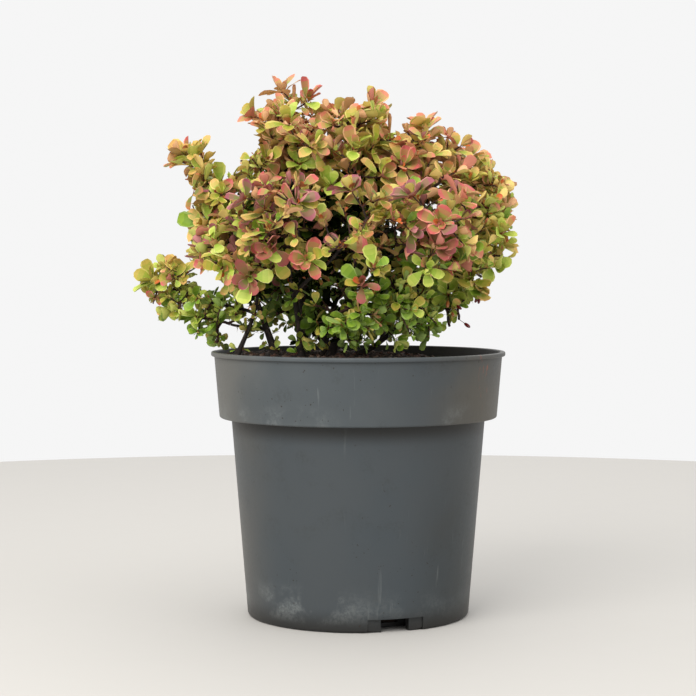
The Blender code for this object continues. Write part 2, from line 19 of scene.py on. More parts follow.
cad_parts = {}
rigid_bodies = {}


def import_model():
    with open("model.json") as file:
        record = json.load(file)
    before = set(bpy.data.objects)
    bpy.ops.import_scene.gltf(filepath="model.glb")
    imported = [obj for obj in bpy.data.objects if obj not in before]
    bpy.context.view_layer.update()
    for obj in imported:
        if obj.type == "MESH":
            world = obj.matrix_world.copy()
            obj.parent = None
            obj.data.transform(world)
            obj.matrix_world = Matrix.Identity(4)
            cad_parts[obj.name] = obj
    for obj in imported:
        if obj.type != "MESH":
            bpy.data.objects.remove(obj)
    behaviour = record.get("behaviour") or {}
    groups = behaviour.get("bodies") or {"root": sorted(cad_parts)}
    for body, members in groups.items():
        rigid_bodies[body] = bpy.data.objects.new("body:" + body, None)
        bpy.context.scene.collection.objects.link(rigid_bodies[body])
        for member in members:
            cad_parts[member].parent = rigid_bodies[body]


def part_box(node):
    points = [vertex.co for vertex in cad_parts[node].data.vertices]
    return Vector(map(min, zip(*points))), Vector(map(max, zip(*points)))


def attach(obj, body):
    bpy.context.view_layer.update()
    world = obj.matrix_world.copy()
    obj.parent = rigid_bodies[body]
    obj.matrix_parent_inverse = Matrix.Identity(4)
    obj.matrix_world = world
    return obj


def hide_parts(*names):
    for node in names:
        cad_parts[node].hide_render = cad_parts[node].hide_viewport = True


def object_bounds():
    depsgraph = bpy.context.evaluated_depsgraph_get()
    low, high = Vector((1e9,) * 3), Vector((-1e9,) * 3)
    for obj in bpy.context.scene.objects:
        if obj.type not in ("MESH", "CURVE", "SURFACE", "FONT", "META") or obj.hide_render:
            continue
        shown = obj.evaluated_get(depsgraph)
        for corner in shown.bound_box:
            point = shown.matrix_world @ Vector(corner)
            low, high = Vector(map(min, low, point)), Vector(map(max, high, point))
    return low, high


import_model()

bl_info = {
    "name": "Potted Barberry",
    "version": (1, 0, 0),
    "blender": (4, 5, 0),
    "location": "3D View > Sidebar > Barberry",
    "description": "Dresses a potted barberry: pot, soil, bark, twigs, leaves, thorns and berries",
    "category": "Object",
}

MM = 0.001
CAD_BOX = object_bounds()

# Pot
POT_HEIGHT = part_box("pot")[1].z
RIM_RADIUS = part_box("pot")[1].x
BAND_TOP_RADIUS = RIM_RADIUS - 3.0 * MM
BAND_FOOT_RADIUS = RIM_RADIUS - 7.8 * MM
BAND_HEIGHT = 62.5 * MM
BODY_TOP_RADIUS = 121.0 * MM
BASE_RADIUS = 105.6 * MM
BASE_ROUNDING = 3.5 * MM
BAND_EDGE = 1.8 * MM
LEDGE_FILLET = 1.5 * MM
RIM_ROUNDING = 1.3 * MM
LEDGE_DROP = 4.0 * MM
BEAD_HEIGHT = 4.2 * MM
WALL = 2.2 * MM
FLOOR = 2.6 * MM
SHOULDER = POT_HEIGHT - BAND_HEIGHT
POCKETS = 3
POCKET_ANGLE = math.radians(-71.0)
POCKET_WIDTH = 54.0 * MM
POCKET_HEIGHT = 12.5 * MM
POCKET_DEPTH = 27.0 * MM
LUG_WIDTH = 14.5 * MM
LUG_SETBACK = 4.5 * MM
LUG_DEPTH = 9.0 * MM
WALL_INSET = 0.5 * MM
DRAIN_WIDTH = 22.0 * MM
DRAIN_HEIGHT = 7.0 * MM
DRAIN_DEPTH = 10.0 * MM
DRAIN_LIFT = 4.0 * MM
SLIVER = 0.1 * MM
POT_CREASE = math.radians(32)

# Potting soil, level round the stems' feet and lower towards the right
CLEARANCE = 0.3 * MM
SOIL_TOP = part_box("potting_soil")[1].z
SOIL_EDGE = SOIL_TOP - 9.0 * MM
SOIL_HEART = Vector((-45.0, 2.0)) * MM
SOIL_FLAT_RADIUS = 86.0 * MM
SOIL_FALL = 80.0 * MM
SOIL_SIDES, SOIL_RINGS = 120, 44
SOIL_LUMP = 2.2 * MM
SOIL_LUMPS = 90.0
SOIL_MOUND = 0.8 * MM
SOIL_CALM = 12.0 * MM
SOIL_CALMEST = 0.2
SOIL_CREASE = math.radians(50)

# Bark chips: length, width and height of each form, and its place in the noise that swells it,
# then their sizes as shares of the middling one, and how they are strewn
CHIP_FORMS = ((1.0, 0.7, 0.45), (1.5, 0.7, 0.22), (1.2, 0.7, 0.14), (0.7, 0.7, 0.6))
CHIP_PLACE = 7.0
CHIP_SWELL, CHIP_SWELLS = 0.45, 2.3
CHIP_SIZES, CHIP_POWER = (0.35, 1.95), 3.0
CHIP_TILT = 0.5
CHIP_SLOPE = 0.3
CHIP_LOWEST = SOIL_EDGE - 4.0 * MM

# Limbs: the radius at a stem's foot and tip, and at a bough's
STEM_RADII = (3.3 * MM, 1.8 * MM)
BOUGH_RADII = (1.8 * MM, 1.2 * MM)
FLARE = 0.4
FLARE_REACH = 0.10
MASS_ENTRY = 0.55
STEM_STEPS, BOUGH_STEPS = 48, 24
BOUGH_LEAVE, BOUGH_RISE = 0.45, 0.18
FOOT_SUNK = 3.0 * MM
LIMB_SIDES, LIMB_RING = 14, 1.6 * MM

# Bark: how far its ridges are drawn out along a limb, their scale and that of its knots, and
# how high the noise has to be for a ridge
BARK_STRETCH = 110.0
RIDGE_SCALE, KNOT_SCALE = 1.9, 0.35
RIDGE_LEVEL = 0.54

# Twigs: the source's main and side twigs, then the finer ones
TWIG_RADII = (1.6 * MM, 1.2 * MM)
TWIG_STEPS = 9
JOINT_STEP = 3
TWIGS_PER_MASS = 5
TWIG_DRAWS = 90
TWIG_NEAREST = 22.0 * MM
TWIG_SHELL = (0.4, 0.8)
TWIG_MARGIN = 4.8 * MM
FINE_RADII = (0.95 * MM, 0.6 * MM)
FINE_DRAWS = 40
FINE_NEAREST = 10.0 * MM
FINE_SHELL = (0.30, 0.82)
FINE_MARGIN = 1.0 * MM
SPUR_SPACING = 8.5 * MM
SPUR_START = 0.03
SPUR_CROWDING = 1.35
SPUR_SIZE = 0.82
SPUR_LAST = 0.98
SPUR_ROOT, SPUR_OUT, SPUR_LEAN = 0.8, 1.5, 0.3
MAIN_TWIG_REACH = 0.4
JOINT_SHARES = (0.2, 0.8)
JOINT_REACH = 0.85
TWIG_WANDER = 0.5 * MM
TWIG_LEAVE = 0.5
TWIG_SIDES, TWIG_RING = 6, 5.0 * MM
TWIG_RELIEF = 0.5

# Rosettes of leaves, with the thorns and berries beside them
CROWN_HEART = Vector((-25.0, 0.0, 345.0)) * MM
CROWN_RADII = Vector((175.0, 160.0, 150.0)) * MM
CROWN_FOOT = 255.0 * MM
CROWN_TOP = 505.0 * MM
GOLDEN_TURN = math.radians(137.5)
TURN_STRAY = 0.2
FIRST_BUD = 0.22
BUD_LEAN = 0.85
TIP_LEAVES, SHOOT_LEAVES = (2, 4), 3
ROSETTE_SIZES = (0.75, 1.15)
LEAF_SIZES = (0.85, 1.1)
STRAY_SHARE = 0.3
EMBER_YOUTH = 0.8
LEAF_LIFT = 0.8 * MM
LEAF_SKYWARD = 0.38
OLD_TILT, YOUNG_TILT = 68.0, 14.0
TILT_STRAY = 19.0
ROLL_STRAY = 26.0
YOUNG_LENGTH = 0.38
YOUTH_POWER = 1.4
LEAF_BREADTH = (0.80, 1.12)
LOW_LEAF, HIGH_LEAF = 0.70, 1.12
LEAF_PROUD = (-5.0 * MM, 12.0 * MM)
SHOOT_REACH = 27.0 * MM
SIDE_SIZE, TIP_SIZE, SHOOT_SIZE = 0.88, 1.06, 1.12
BLADE_CHECKS = (0.55, 1.0)
WOOD_GAP = 1.0 * MM
SOIL_GAP = 2.0 * MM
RIM_GAP = 1.2 * MM
RIM_ROOM = 10.0 * MM
BOX_ROOM = 9.0 * MM
THORN_SHARE = 0.35
THORN_BACK = 0.2
THORN_SIZES, SPUR_THORN_SIZES = (0.6, 1.2), (0.6, 1.1)
BERRY_SIZES = (0.85, 1.1)
BERRY_SAG = 0.5
BERRY_HALF_WIDTH, BERRY_BLUNTNESS = 0.215, 0.8
BERRY_SIDES, BERRY_ROUNDS = 12, 8

# How far a rosette turns outwards and up, and how far its leaves may pass the plane between two
# masses: an ordinary one's, then a bold one's, which also turns to the sun and may hang lower
BUD_OUT, BOLD_OUT = 0.40, 1.20
BUD_UP, BOLD_UP = 0.85, 0.30
LEAF_OVERLAP, BOLD_OVERLAP = -8.0 * MM, -30.0 * MM
BOLD_SUN = 1.6
BOLD_DROOP = 30.0 * MM

# The crown's underside rises away from this axis past this radius, by the square of the rest
UNDERSIDE_AXIS = Vector((-44.0, 0.0)) * MM
UNDERSIDE_RADIUS = 88.0 * MM
UNDERSIDE_RISE = 10.5

# Leaves: a blade's foot, its stations from foot to tip and its columns from edge to edge, as
# shares of its length and half width, then a thorn's radii and the most triangles of a piece
BLADE_FOOT = 0.12
LEAF_STATIONS = (0.24, 0.50, 0.77, 0.94)
LEAF_COLUMNS = (-1.0, -0.93, 0.0, 0.93, 1.0)
LEAF_THICKNESS = 0.022
STALK_WIDTH = 0.020
LEAF_SHINE, DARK_SHINE = 0.25, 0.06
UNDER_DULLER = 0.15
THORN_FOOT, THORN_TIP = 0.045, 0.004
BIG_PIECE = 199_000

# Stage: the floor, and each lamp's place, size and colour
FLOOR_RADIUS = 1.5
LIGHTS = {
    "key": ((-0.9, -1.5, 1.5), 1.5, (1.0, 0.985, 0.96)),
    "fill": ((1.5, -1.0, 0.9), 1.4, (0.96, 0.98, 1.0)),
    "back": ((0.3, 1.4, 1.7), 1.4, (1.0, 1.0, 1.0)),
}


def paint(red, green, blue):
    """A colour from a painter's 0 to 255 values to the shader's linear ones."""
    linear = []
    for share in (red / 255, green / 255, blue / 255):
        linear.append(((share + 0.055) / 1.055) ** 2.4 if share > 0.04 else share / 12.92)
    return tuple(linear)


class Stem:
    """A stem from its foot on the soil, in millimetres, to the mass that it ends in: it leaves
    the foot along `rise`, then leans over and enters the mass along `arrive`."""

    def __init__(self, foot, mass, rise, arrive, size=1.0):
        self.foot = Vector((foot[0] * MM, foot[1] * MM, SOIL_TOP + CLEARANCE))
        self.mass = mass
        self.rise = Vector(rise).normalized()
        self.arrive = Vector(arrive).normalized()
        self.size = size


class Mass:
    """A mass of foliage in millimetres: its centre and reach, the stem that carries it, the
    share of the stem at which its bough leaves (None where the stem itself ends in it), the
    families of leaf colours that it favours, the tip of its main twig where that stands out of
    it, the end of the sprig beyond and its tint, how full of fine twigs it is, the ends of the
    strong shoots at its outline, some with a tint, those of the dark shoots whose near-black
    leaves are painted shade in the crown's heart, and the places of its ripe and its unripe
    berries."""

    def __init__(
        self, stem, share, centre, reach, tints, tip=None, sprig=None, tint=None, full=1.0,
        shoots=(), shades=(), berries=(), unripe=(),
    ):
        self.stem = stem
        self.share = share
        self.centre = Vector(centre) * MM
        self.reach = reach * MM
        self.tints = tints.split()
        self.tip = Vector(tip) * MM if tip else None
        self.sprig = Vector(sprig) * MM if sprig else None
        self.tint = tint
        self.full = full
        self.shoots = []
        for x, y, z, *own in shoots:
            self.shoots.append((Vector((x, y, z)) * MM, own[0] if own else None))
        # The dark shoots take the near-black shade family: painted shade that closes the crown's heart
        self.shoots += [(Vector(shade) * MM, "shade") for shade in shades]
        self.berries = [(Vector(place) * MM, 0) for place in berries]
        self.berries += [(Vector(place) * MM, 1) for place in unripe]


STEMS = {
    "stem_left": Stem((-78, -4), "leaves_left_top", (-0.35, 0, 1), (-0.3, 0, 1)),
    "stem_shoot": Stem((-115, -16), "leaves_left", (0.4, -0.1, 1), (-0.3, -0.6, 1), size=0.7),
    "stem_front": Stem((-54, -22), "leaves_front_left", (0, -0.3, 1), (-0.1, -0.6, 1)),
    "stem_middle": Stem((-50, 8), "leaves_top_left", (-0.1, 0, 1), (-0.2, -0.1, 1), size=1.2),
    "stem_right": Stem((-26, -9), "leaves_top", (0.3, -0.1, 1), (-0.2, 0, 1), size=1.1),
    "stem_back": Stem((-32, 30), "leaves_back", (0, 0.3, 1), (0.1, 0.6, 1)),
    "stem_low": Stem((-4, 8), "leaves_right_low", (1, 0, 0.3), (1, -0.1, 0.3), size=0.85),
}

MASSES = {
    "leaves_far_left": Mass(
        "stem_left", 0.30, (-170, -12, 308), 36, "olive lime", (-186, -16, 314), (-192, -18, 318),
        "olive", full=0.5, shoots=[(-175, -18, 289, "lime"), (-166, -16, 325, "golden")],
    ),
    "leaves_left_low": Mass(
        "stem_left", 0.20, (-140, -6, 280), 34, "fresh lime", full=0.5,
        shoots=[(-152, -20, 284, "lime"), (-116, -20, 302)],
    ),
    "leaves_left": Mass(
        "stem_shoot", None, (-103, -58, 345), 48, "lime plum golden",
        shoots=[
            (-146, -40, 354), (-150, -32, 342), (-94, -98, 364, "lime"), (-112, -90, 336, "salmon"),
            (-98, -102, 322, "wine"), (-124, -82, 330, "olive"),
        ],
        berries=[(-143, -34, 326)],
    ),
    "leaves_left_top": Mass(
        "stem_left", None, (-126, -10, 392), 46, "golden lime", (-154, -12, 428), (-158, -12, 436),
        "golden", shoots=[
            (-130, -14, 408, "lime"), (-124, -20, 376), (-148, -14, 438, "golden"),
            (-166, -14, 430, "salmon"), (-142, -26, 372, "golden"),
        ],
    ),
    "leaves_left_back": Mass("stem_left", 0.62, (-120, 48, 348), 47, "lime olive"),
    "leaves_top_left": Mass(
        "stem_middle", None, (-68, -14, 448), 50, "salmon lime", (-62, -14, 482), (-70, -14, 496),
        "salmon", shoots=[
            (-48, -18, 486, "rose"), (-96, -16, 472, "olive"), (-64, -60, 462, "olive"),
            (-42, -58, 440, "golden"),
        ],
    ),
    "leaves_top_back_left": Mass("stem_middle", 0.72, (-64, 52, 430), 48, "salmon golden"),
    "leaves_inner": Mass(
        "stem_middle", 0.55, (-28, -22, 390), 42, "olive golden", full=0.7,
        shoots=[(10, -30, 380)], shades=[(-40, -10, 356), (-14, -8, 352)],
    ),
    "leaves_front_left": Mass(
        "stem_front", None, (-68, -98, 372), 50, "plum golden",
        shoots=[
            (-78, -128, 350, "wine"), (-54, -132, 388, "plum"), (-100, -120, 392, "plum"),
            (-46, -120, 338, "rose"),
        ],
    ),
    "leaves_front": Mass(
        "stem_front", 0.55, (-2, -110, 362), 52, "olive bronze", full=0.5,
        shoots=[(28, -96, 384), (-6, -120, 398, "plum")],
    ),
    "leaves_front_low": Mass(
        "stem_front", 0.22, (-12, -72, 291), 40, "fresh deep", full=0.7,
        shoots=[(-40, -50, 262), (4, -66, 262), (4, -44, 270), (2, -121, 317, "wine")],
    ),
    "leaves_top": Mass(
        "stem_right", None, (-6, -22, 444), 50, "olive salmon lime", (14, -16, 472), (13, -16, 482),
        "salmon", shoots=[
            (-14, -20, 474), (-30, -18, 470), (-10, -50, 420), (20, -60, 414, "golden"),
            (-4, -64, 438, "lime"),
        ],
    ),
    "leaves_top_right": Mass(
        "stem_right", 0.80, (64, -16, 424), 48, "salmon golden", (66, -14, 450), (64, -14, 460),
        "salmon", shoots=[(80, -14, 434), (46, -18, 458), (40, -12, 398), (40, -50, 424, "rose")],
    ),
    "leaves_right_top": Mass(
        "stem_right", 0.62, (108, 0, 396), 46, "golden salmon lime", (112, -2, 420), (105, -2, 434),
        "salmon", shoots=[(122, -4, 388, "lime"), (114, -6, 408, "golden"), (126, -4, 372, "golden")],
    ),
    "leaves_front_right": Mass(
        "stem_right", 0.45, (66, -86, 362), 50, "rose fresh",
        shoots=[
            (72, -122, 370, "rose"), (48, -118, 394, "plum"), (90, -104, 392, "rose"),
            (94, -104, 352, "salmon"), (68, -122, 350, "wine"),
        ],
    ),
    "leaves_front_right_low": Mass(
        "stem_right", 0.20, (48, -54, 296), 42, "fresh lime", shoots=[(34, -50, 264), (66, -44, 268)],
    ),
    "leaves_back": Mass(
        "stem_back", None, (-10, 108, 362), 54, "golden", shoots=[(24, 96, 382)],
        shades=[
            (-30, 84, 336), (-8, 80, 332), (-44, 78, 334), (-24, 74, 350), (0, 74, 348), (22, 76, 334),
            (-40, 62, 340), (30, 72, 352),
        ],
    ),
    "leaves_back_left": Mass("stem_back", 0.55, (-84, 86, 368), 52, "lime"),
    "leaves_back_left_low": Mass(
        "stem_back", 0.25, (-70, 82, 304), 42, "fresh",
        shades=[
            (-36, 66, 292), (-28, 70, 312), (-30, 60, 326), (-52, 58, 318), (-44, 62, 274),
            (-58, 56, 296), (-40, 56, 308), (-44, 54, 334),
        ],
    ),
    "leaves_top_back_right": Mass(
        "stem_back", 0.80, (24, 54, 434), 48, "salmon olive",
        shades=[(-18, 36, 440), (38, 30, 402), (10, 24, 408)],
    ),
    "leaves_right_low": Mass(
        "stem_low", None, (90, -8, 300), 36, "lime golden",
        shoots=[(114, -36, 310, "golden"), (84, -40, 306, "lime"), (104, -42, 320, "olive")],
        berries=[(98, -46, 298), (104, -46, 297), (110, -42, 292), (106, -42, 282)],
        unripe=[(80, -66, 292), (90, -64, 292)],
    ),
    "leaves_right": Mass(
        "stem_low", 0.80, (112, -22, 338), 42, "lime golden", (128, -26, 342), (139, -30, 340),
        "olive", shoots=[
            (126, -30, 332, "lime"), (108, -34, 317, "lime"), (132, -32, 362, "lime"),
            (104, -58, 340, "olive"), (136, -22, 350, "golden"),
        ],
    ),
    "leaves_right_back": Mass(
        "stem_low", 0.55, (84, 70, 362), 50, "lime rose", shoots=[(44, 50, 392)],
        shades=[(36, 62, 352), (50, 52, 336), (56, 56, 318), (66, 48, 352)],
        berries=[(104, 92, 328), (96, 96, 330)],
    ),
    "leaves_back_right_low": Mass(
        "stem_low", 0.30, (32, 84, 298), 44, "fresh", shoots=[(6, 70, 268)],
        shades=[
            (-10, 70, 288), (-10, 72, 308), (14, 60, 300), (2, 62, 322), (26, 56, 318), (-14, 66, 270),
            (-20, 58, 304), (-18, 64, 324), (30, 60, 284), (12, 54, 330),
        ],
    ),
}

# Open places in the crown, each a hole seen from the front, by its middle's X and Z and its
# radius: the holes that show the sky, then the recesses with the Y that they reach back to
SKY = 200
SKY_HOLES = (
    (-107, 451, 13), (-122, 431, 11), (36, 466, 8), (-139, 321, 10), (-126, 275, 8), (-115, 266, 7),
    (-166, 262, 9), (-180, 400, 23), (-100, 512, 15), (152, 430, 18), (162, 402, 12), (137, 300, 17),
    (131, 317, 9), (149, 327, 10), (80, 284, 7), (98, 290, 6), (112, 322, 5), (118, 284, 12),
    (-156, 256, 8), (102, 470, 12),
)
RECESSES = (
    (-17, 336, 12, -34), (-23, 302, 11, -34), (4, 320, 13, -92), (-15, 318, 9, -92),
    (20, 316, 9, -92), (-20, 366, 12, -60), (-98, 388, 8, -60), (20, 407, 8, -50), (86, 297, 9, -48),
    (-48, 366, 10, -60), (-60, 396, 8, -60), (-34, 392, 9, -56), (4, 380, 9, -56),
    (64, 388, 8, -56), (88, 372, 8, -50), (34, 362, 8, -60), (-70, 356, 7, -70),
)
OPENINGS = tuple((*hole, SKY) for hole in SKY_HOLES) + RECESSES

# How much a mass favours its own families of colours, how much of the crown's radii the dark
# families, painted shade inside the crown, keep inside, and the least that a family keeps of its share
FAVOUR = 4.0
DARK_REACH = 0.60
LEAST_SHARE = 0.02


class Family:
    """One family of leaf colours: near the stalk, towards the tip, along the rim, a paler edge
    that is partly the leaf's own margin and partly a painted highlight, and below, lightened as
    painted light that shines through the thin leaf; then the height in the crown where it is
    commonest (0 at the lowest leaf, 1 at the top), how widely it spreads from there, how common
    it is, how much it keeps to the outside, where less than 0 makes it a dark one that keeps
    inside as painted shade in the crown's heart, and how much to the sunny side, the front."""

    def __init__(self, heart, outer, rim, under, height, spread, common, outside, sunny=0.0):
        self.colours = (heart, outer, rim, under)
        self.height = height
        self.spread = spread
        self.common = common
        self.outside = outside
        self.sunny = sunny

    def weight(self, height, outness, frontness):
        """The family's weight in the draw at a place in the crown."""
        if self.outside < 0 and outness > DARK_REACH:
            return 0.0
        away = (height - self.height) / self.spread
        lean = outness if self.outside > 0 else 1.0 - outness
        sun = math.exp(self.sunny * frontness - away * away)
        return self.common * sun * max(lean, LEAST_SHARE) ** abs(self.outside)


FAMILIES = {
    "salmon": Family(
        (162, 162, 78), (205, 129, 100), (218, 165, 130), (228, 178, 131), 0.88, 0.42, 1.7, 1.5),
    "golden": Family(
        (165, 174, 77), (216, 172, 101), (228, 200, 138), (228, 200, 120), 0.78, 0.50, 1.0, 1.5, -0.4),
    "olive": Family(
        (145, 156, 52), (181, 161, 71), (207, 192, 117), (199, 184, 100), 0.55, 0.60, 1.4, 0.5),
    "lime": Family(
        (149, 173, 62), (182, 192, 86), (211, 211, 135), (199, 204, 108), 0.30, 0.45, 1.5, 1.5, -0.8),
    "fresh": Family(
        (102, 135, 38), (138, 166, 54), (178, 193, 109), (146, 170, 89), 0.05, 0.34, 1.5, 0.5),
    # The dark families dealt inside the crown: deep is partly the inner leaves' own darker green and
    # partly painted shade, shade is near-black painted shade
    "deep": Family(
        (44, 60, 14), (62, 82, 18), (98, 114, 46), (72, 88, 38), 0.12, 0.75, 10.0, -2.2),
    "shade": Family(
        (16, 24, 3), (24, 34, 5), (36, 46, 12), (30, 38, 13), 0.12, 0.75, 46.0, -4.0),
    "plum": Family(
        (116, 116, 61), (151, 83, 90), (179, 115, 115), (189, 125, 123), 0.56, 0.26, 0.32, 0.8, 1.1),
    "rose": Family(
        (145, 143, 68), (189, 92, 85), (207, 126, 113), (218, 141, 121), 0.54, 0.26, 0.30, 1.5, 1.1),
    "wine": Family(
        (138, 108, 68), (160, 84, 78), (196, 124, 110), (176, 112, 98), 0.54, 0.24, 0.26, 1.0, 1.1),
    "bronze": Family(
        (116, 120, 46), (170, 108, 65), (197, 153, 109), (183, 143, 94), 0.60, 0.35, 0.6, 0.0),
    "ember": Family(
        (193, 127, 59), (207, 95, 56), (222, 143, 101), (183, 112, 79), 0.60, 0.60, 0.0, 1.0),
}
DEALT = tuple(FAMILIES)
ZONES = 6
HEART, MIDDLE, OUTER, RIM, UNDER, STALK = range(ZONES)
BLADE_ZONES = (HEART, MIDDLE, OUTER)


def tinted(name, description, red, green, blue):
    """A colour that the user may change, its default from a painter's values."""
    return FloatVectorProperty(
        name=name, description=description, subtype="COLOR", default=paint(red, green, blue),
        min=0.0, max=1.0,
    )


def factor(name, description, default):
    """A share from 0 to 1 that the user may change."""
    return FloatProperty(
        name=name, description=description, subtype="FACTOR", default=default, min=0.0, max=1.0,
    )


def distance(name, description, default, least=0.0):
    """A length that the user may change."""
    return FloatProperty(
        name=name, description=description, unit="LENGTH", default=default, min=least,
    )


def number(name, description, default):
    """A plain number that the user may change."""
    return FloatProperty(name=name, description=description, default=default, min=0.0)


def whole(name, description, default, least):
    """A count that the user may change."""
    return IntProperty(name=name, description=description, default=default, min=least)


class PotLook(bpy.types.PropertyGroup):
    """The turned plastic pot."""

    sides: whole("Sides", "Faces round the turned wall", 192, 48)
    colour: tinted("Plastic", "Colour of the clean plastic", 65, 70, 73)
    cool_colour: tinted("Cool patches", "Colour of the plastic where it is cleanest", 59, 67, 72)
    # The right side's colour is painted shade and a painted brown reflection, and is also the colour of
    # the dust patches
    shade_and_dust_colour: tinted("Shadowed side", "Colour of the right side, browned by painted_shade_and_reflection", 34, 32, 22)
    # The left side's paler colour is painted light and dust
    dust_and_light_colour: tinted("Brighter side", "Colour of the left side, paler with dust", 82, 78, 70)
    # The lime's colour also serves for the painted sheen on the band
    lime_and_sheen_colour: tinted("Lime scale", "Colour of the dried lime and dust", 148, 152, 150)
    wear: factor("Wear", "How much lime, dust and scratching shows", 0.7)


class SoilLook(bpy.types.PropertyGroup):
    """The potting soil and the bark chips on it."""

    colour: tinted("Peat", "Colour of the moist peat", 56, 42, 34)
    chip_colour: tinted("Bark chips", "Colour of the composted bark", 70, 52, 42)
    density: number("Chips", "Chips for each square metre of soil", 52000.0)
    chip: distance("Chip size", "Length of a middling chip", 4.2 * MM)


class BarkLook(bpy.types.PropertyGroup):
    """Stems, boughs, twigs and thorns."""

    colour: tinted("Old bark", "Colour in the furrows of stems and boughs", 34, 26, 21)
    ridge_colour: tinted("Bark ridges", "Colour of the dry ridges of the bark", 66, 54, 45)
    twig_colour: tinted("Young bark", "Colour of twigs and leaf stalks' feet", 66, 38, 29)
    relief: factor("Relief", "Height of the bark's ridges as a share of the limb's radius", 0.30)
    thorn: distance("Thorn", "Length of a middling thorn", 9.0 * MM)


class LeafLook(bpy.types.PropertyGroup):
    """Leaves, their rosettes and the twigs that carry them."""

    length: distance("Leaf length", "Length of a rosette's outer leaves", 18.0 * MM, 1.0 * MM)
    fine_twigs: whole("Fine twigs", "Fine twigs in each mass of foliage", 24, 0)
    bud_spacing: distance(
        "Rosette spacing", "Distance between rosettes along a twig", 6.2 * MM, 1.0 * MM,
    )
    rosette: whole("Leaves in a rosette", "Leaves in a middling rosette", 4, 1)
    roughness: factor("Roughness", "Roughness of a leaf's upper side", 0.45)


FAMILY_ZONES = ("heart", "outer", "rim", "under")
for family_name, family in FAMILIES.items():
    for zone_name, zone_colour in zip(FAMILY_ZONES, family.colours):
        LeafLook.__annotations__[f"{family_name}_{zone_name}"] = tinted(
            f"{family_name.title()} {zone_name}", f"Colour of a {family_name} leaf, {zone_name}",
            *zone_colour,
        )


class BerryLook(bpy.types.PropertyGroup):
    """The few ripe and unripe berries."""

    length: distance("Berry length", "Length of one berry", 7.8 * MM)
    colour: tinted("Berry", "Colour of the ripe skin", 104, 22, 26)
    unripe_colour: tinted("Unripe berry", "Colour of the unripe skin", 160, 92, 50)


class StageLook(bpy.types.PropertyGroup):
    """The camera, the floor and the studio light."""

    lens: number("Lens", "Focal length in millimetres", 95.4)
    camera_place: FloatVectorProperty(
        name="Camera", description="Where the camera stands", subtype="TRANSLATION",
        default=(-0.0097, -1.761, 0.331),
    )
    camera_pitch: FloatProperty(
        name="Pitch", description="The camera's tilt from straight down", subtype="ANGLE",
        default=math.radians(87.5),
    )
    floor_colour: tinted("Floor", "Colour of the floor", 184, 181, 176)
    sky: number("Ambient", "Strength of the even light overhead", 1.40)
    horizon: number("Horizon", "Strength of the even light at the horizon and below", 0.62)
    wall: number("Wall", "Brightness of the plain wall behind", 0.92)
    key: number("Key light", "Power of the key light", 38.0)
    fill: number("Fill light", "Power of the fill light and of the one behind", 5.0)


class Term:
    """One output of a node as a term of a formula, whose operators add Math nodes."""

    def __init__(self, graph, socket):
        self.graph = graph
        self.socket = socket

    def __add__(self, other):
        return self.graph.math("ADD", self, other)

    def __sub__(self, other):
        return self.graph.math("SUBTRACT", self, other)

    def __rsub__(self, other):
        return self.graph.math("SUBTRACT", other, self)

    def __mul__(self, other):
        return self.graph.math("MULTIPLY", self, other)

    __radd__ = __add__
    __rmul__ = __mul__


class Graph:
    """A node tree that is written as formulas."""

    def __init__(self, tree):
        self.tree = tree

    @staticmethod
    def find(sockets, name):
        for socket in sockets:
            if socket.name == name and socket.enabled:
                return socket
        raise KeyError(f"no socket named {name}")

    def feed(self, socket, value):
        """Links a term to a socket, or sets the socket's own value."""
        if isinstance(value, Term):
            self.tree.links.new(value.socket, socket)
        else:
            socket.default_value = value

    def add(self, kind, settings=None, sockets=None, output=None):
        """Adds a node with its settings, then its sockets' values or links, and gives one of
        its outputs: the named one, or else the first."""
        node = self.tree.nodes.new(kind)
        for name, value in (settings or {}).items():
            setattr(node, name, value)
        for name, value in (sockets or {}).items():
            self.feed(self.find(node.inputs, name), value)
        if output:
            return Term(self, self.find(node.outputs, output))
        enabled = [socket for socket in node.outputs if socket.enabled]
        return Term(self, enabled[0]) if enabled else None

    def math(self, operation, *terms, clamp=False):
        node = self.tree.nodes.new("ShaderNodeMath")
        node.operation = operation
        node.use_clamp = clamp
        for socket, term in zip(node.inputs, terms):
            self.feed(socket, term)
        return Term(self, node.outputs[0])

    def vectors(self, operation, first, second):
        """The Vector Math node of two vectors, or of a vector and a factor for SCALE."""
        node = self.tree.nodes.new("ShaderNodeVectorMath")
        node.operation = operation
        self.feed(node.inputs[0], first)
        self.feed(node.inputs["Scale"] if operation == "SCALE" else node.inputs[1], second)
        return Term(self, node.outputs[0])

    def part(self, vector, axis):
        """One of a vector's three numbers."""
        return self.add("ShaderNodeSeparateXYZ", {}, {"Vector": vector}, output=axis)

    def step(self, value, low, high):
        """A smooth rise from 0 at `low` to 1 at `high`."""
        return self.add(
            "ShaderNodeMapRange", {"interpolation_type": "SMOOTHSTEP"},
            {"Value": value, "From Min": low, "From Max": high},
        )

    def noise(self, place, scale, detail=2.0, roughness=0.5):
        return self.add(
            "ShaderNodeTexNoise", {},
            {"Vector": place, "Scale": scale, "Detail": detail, "Roughness": roughness},
        )


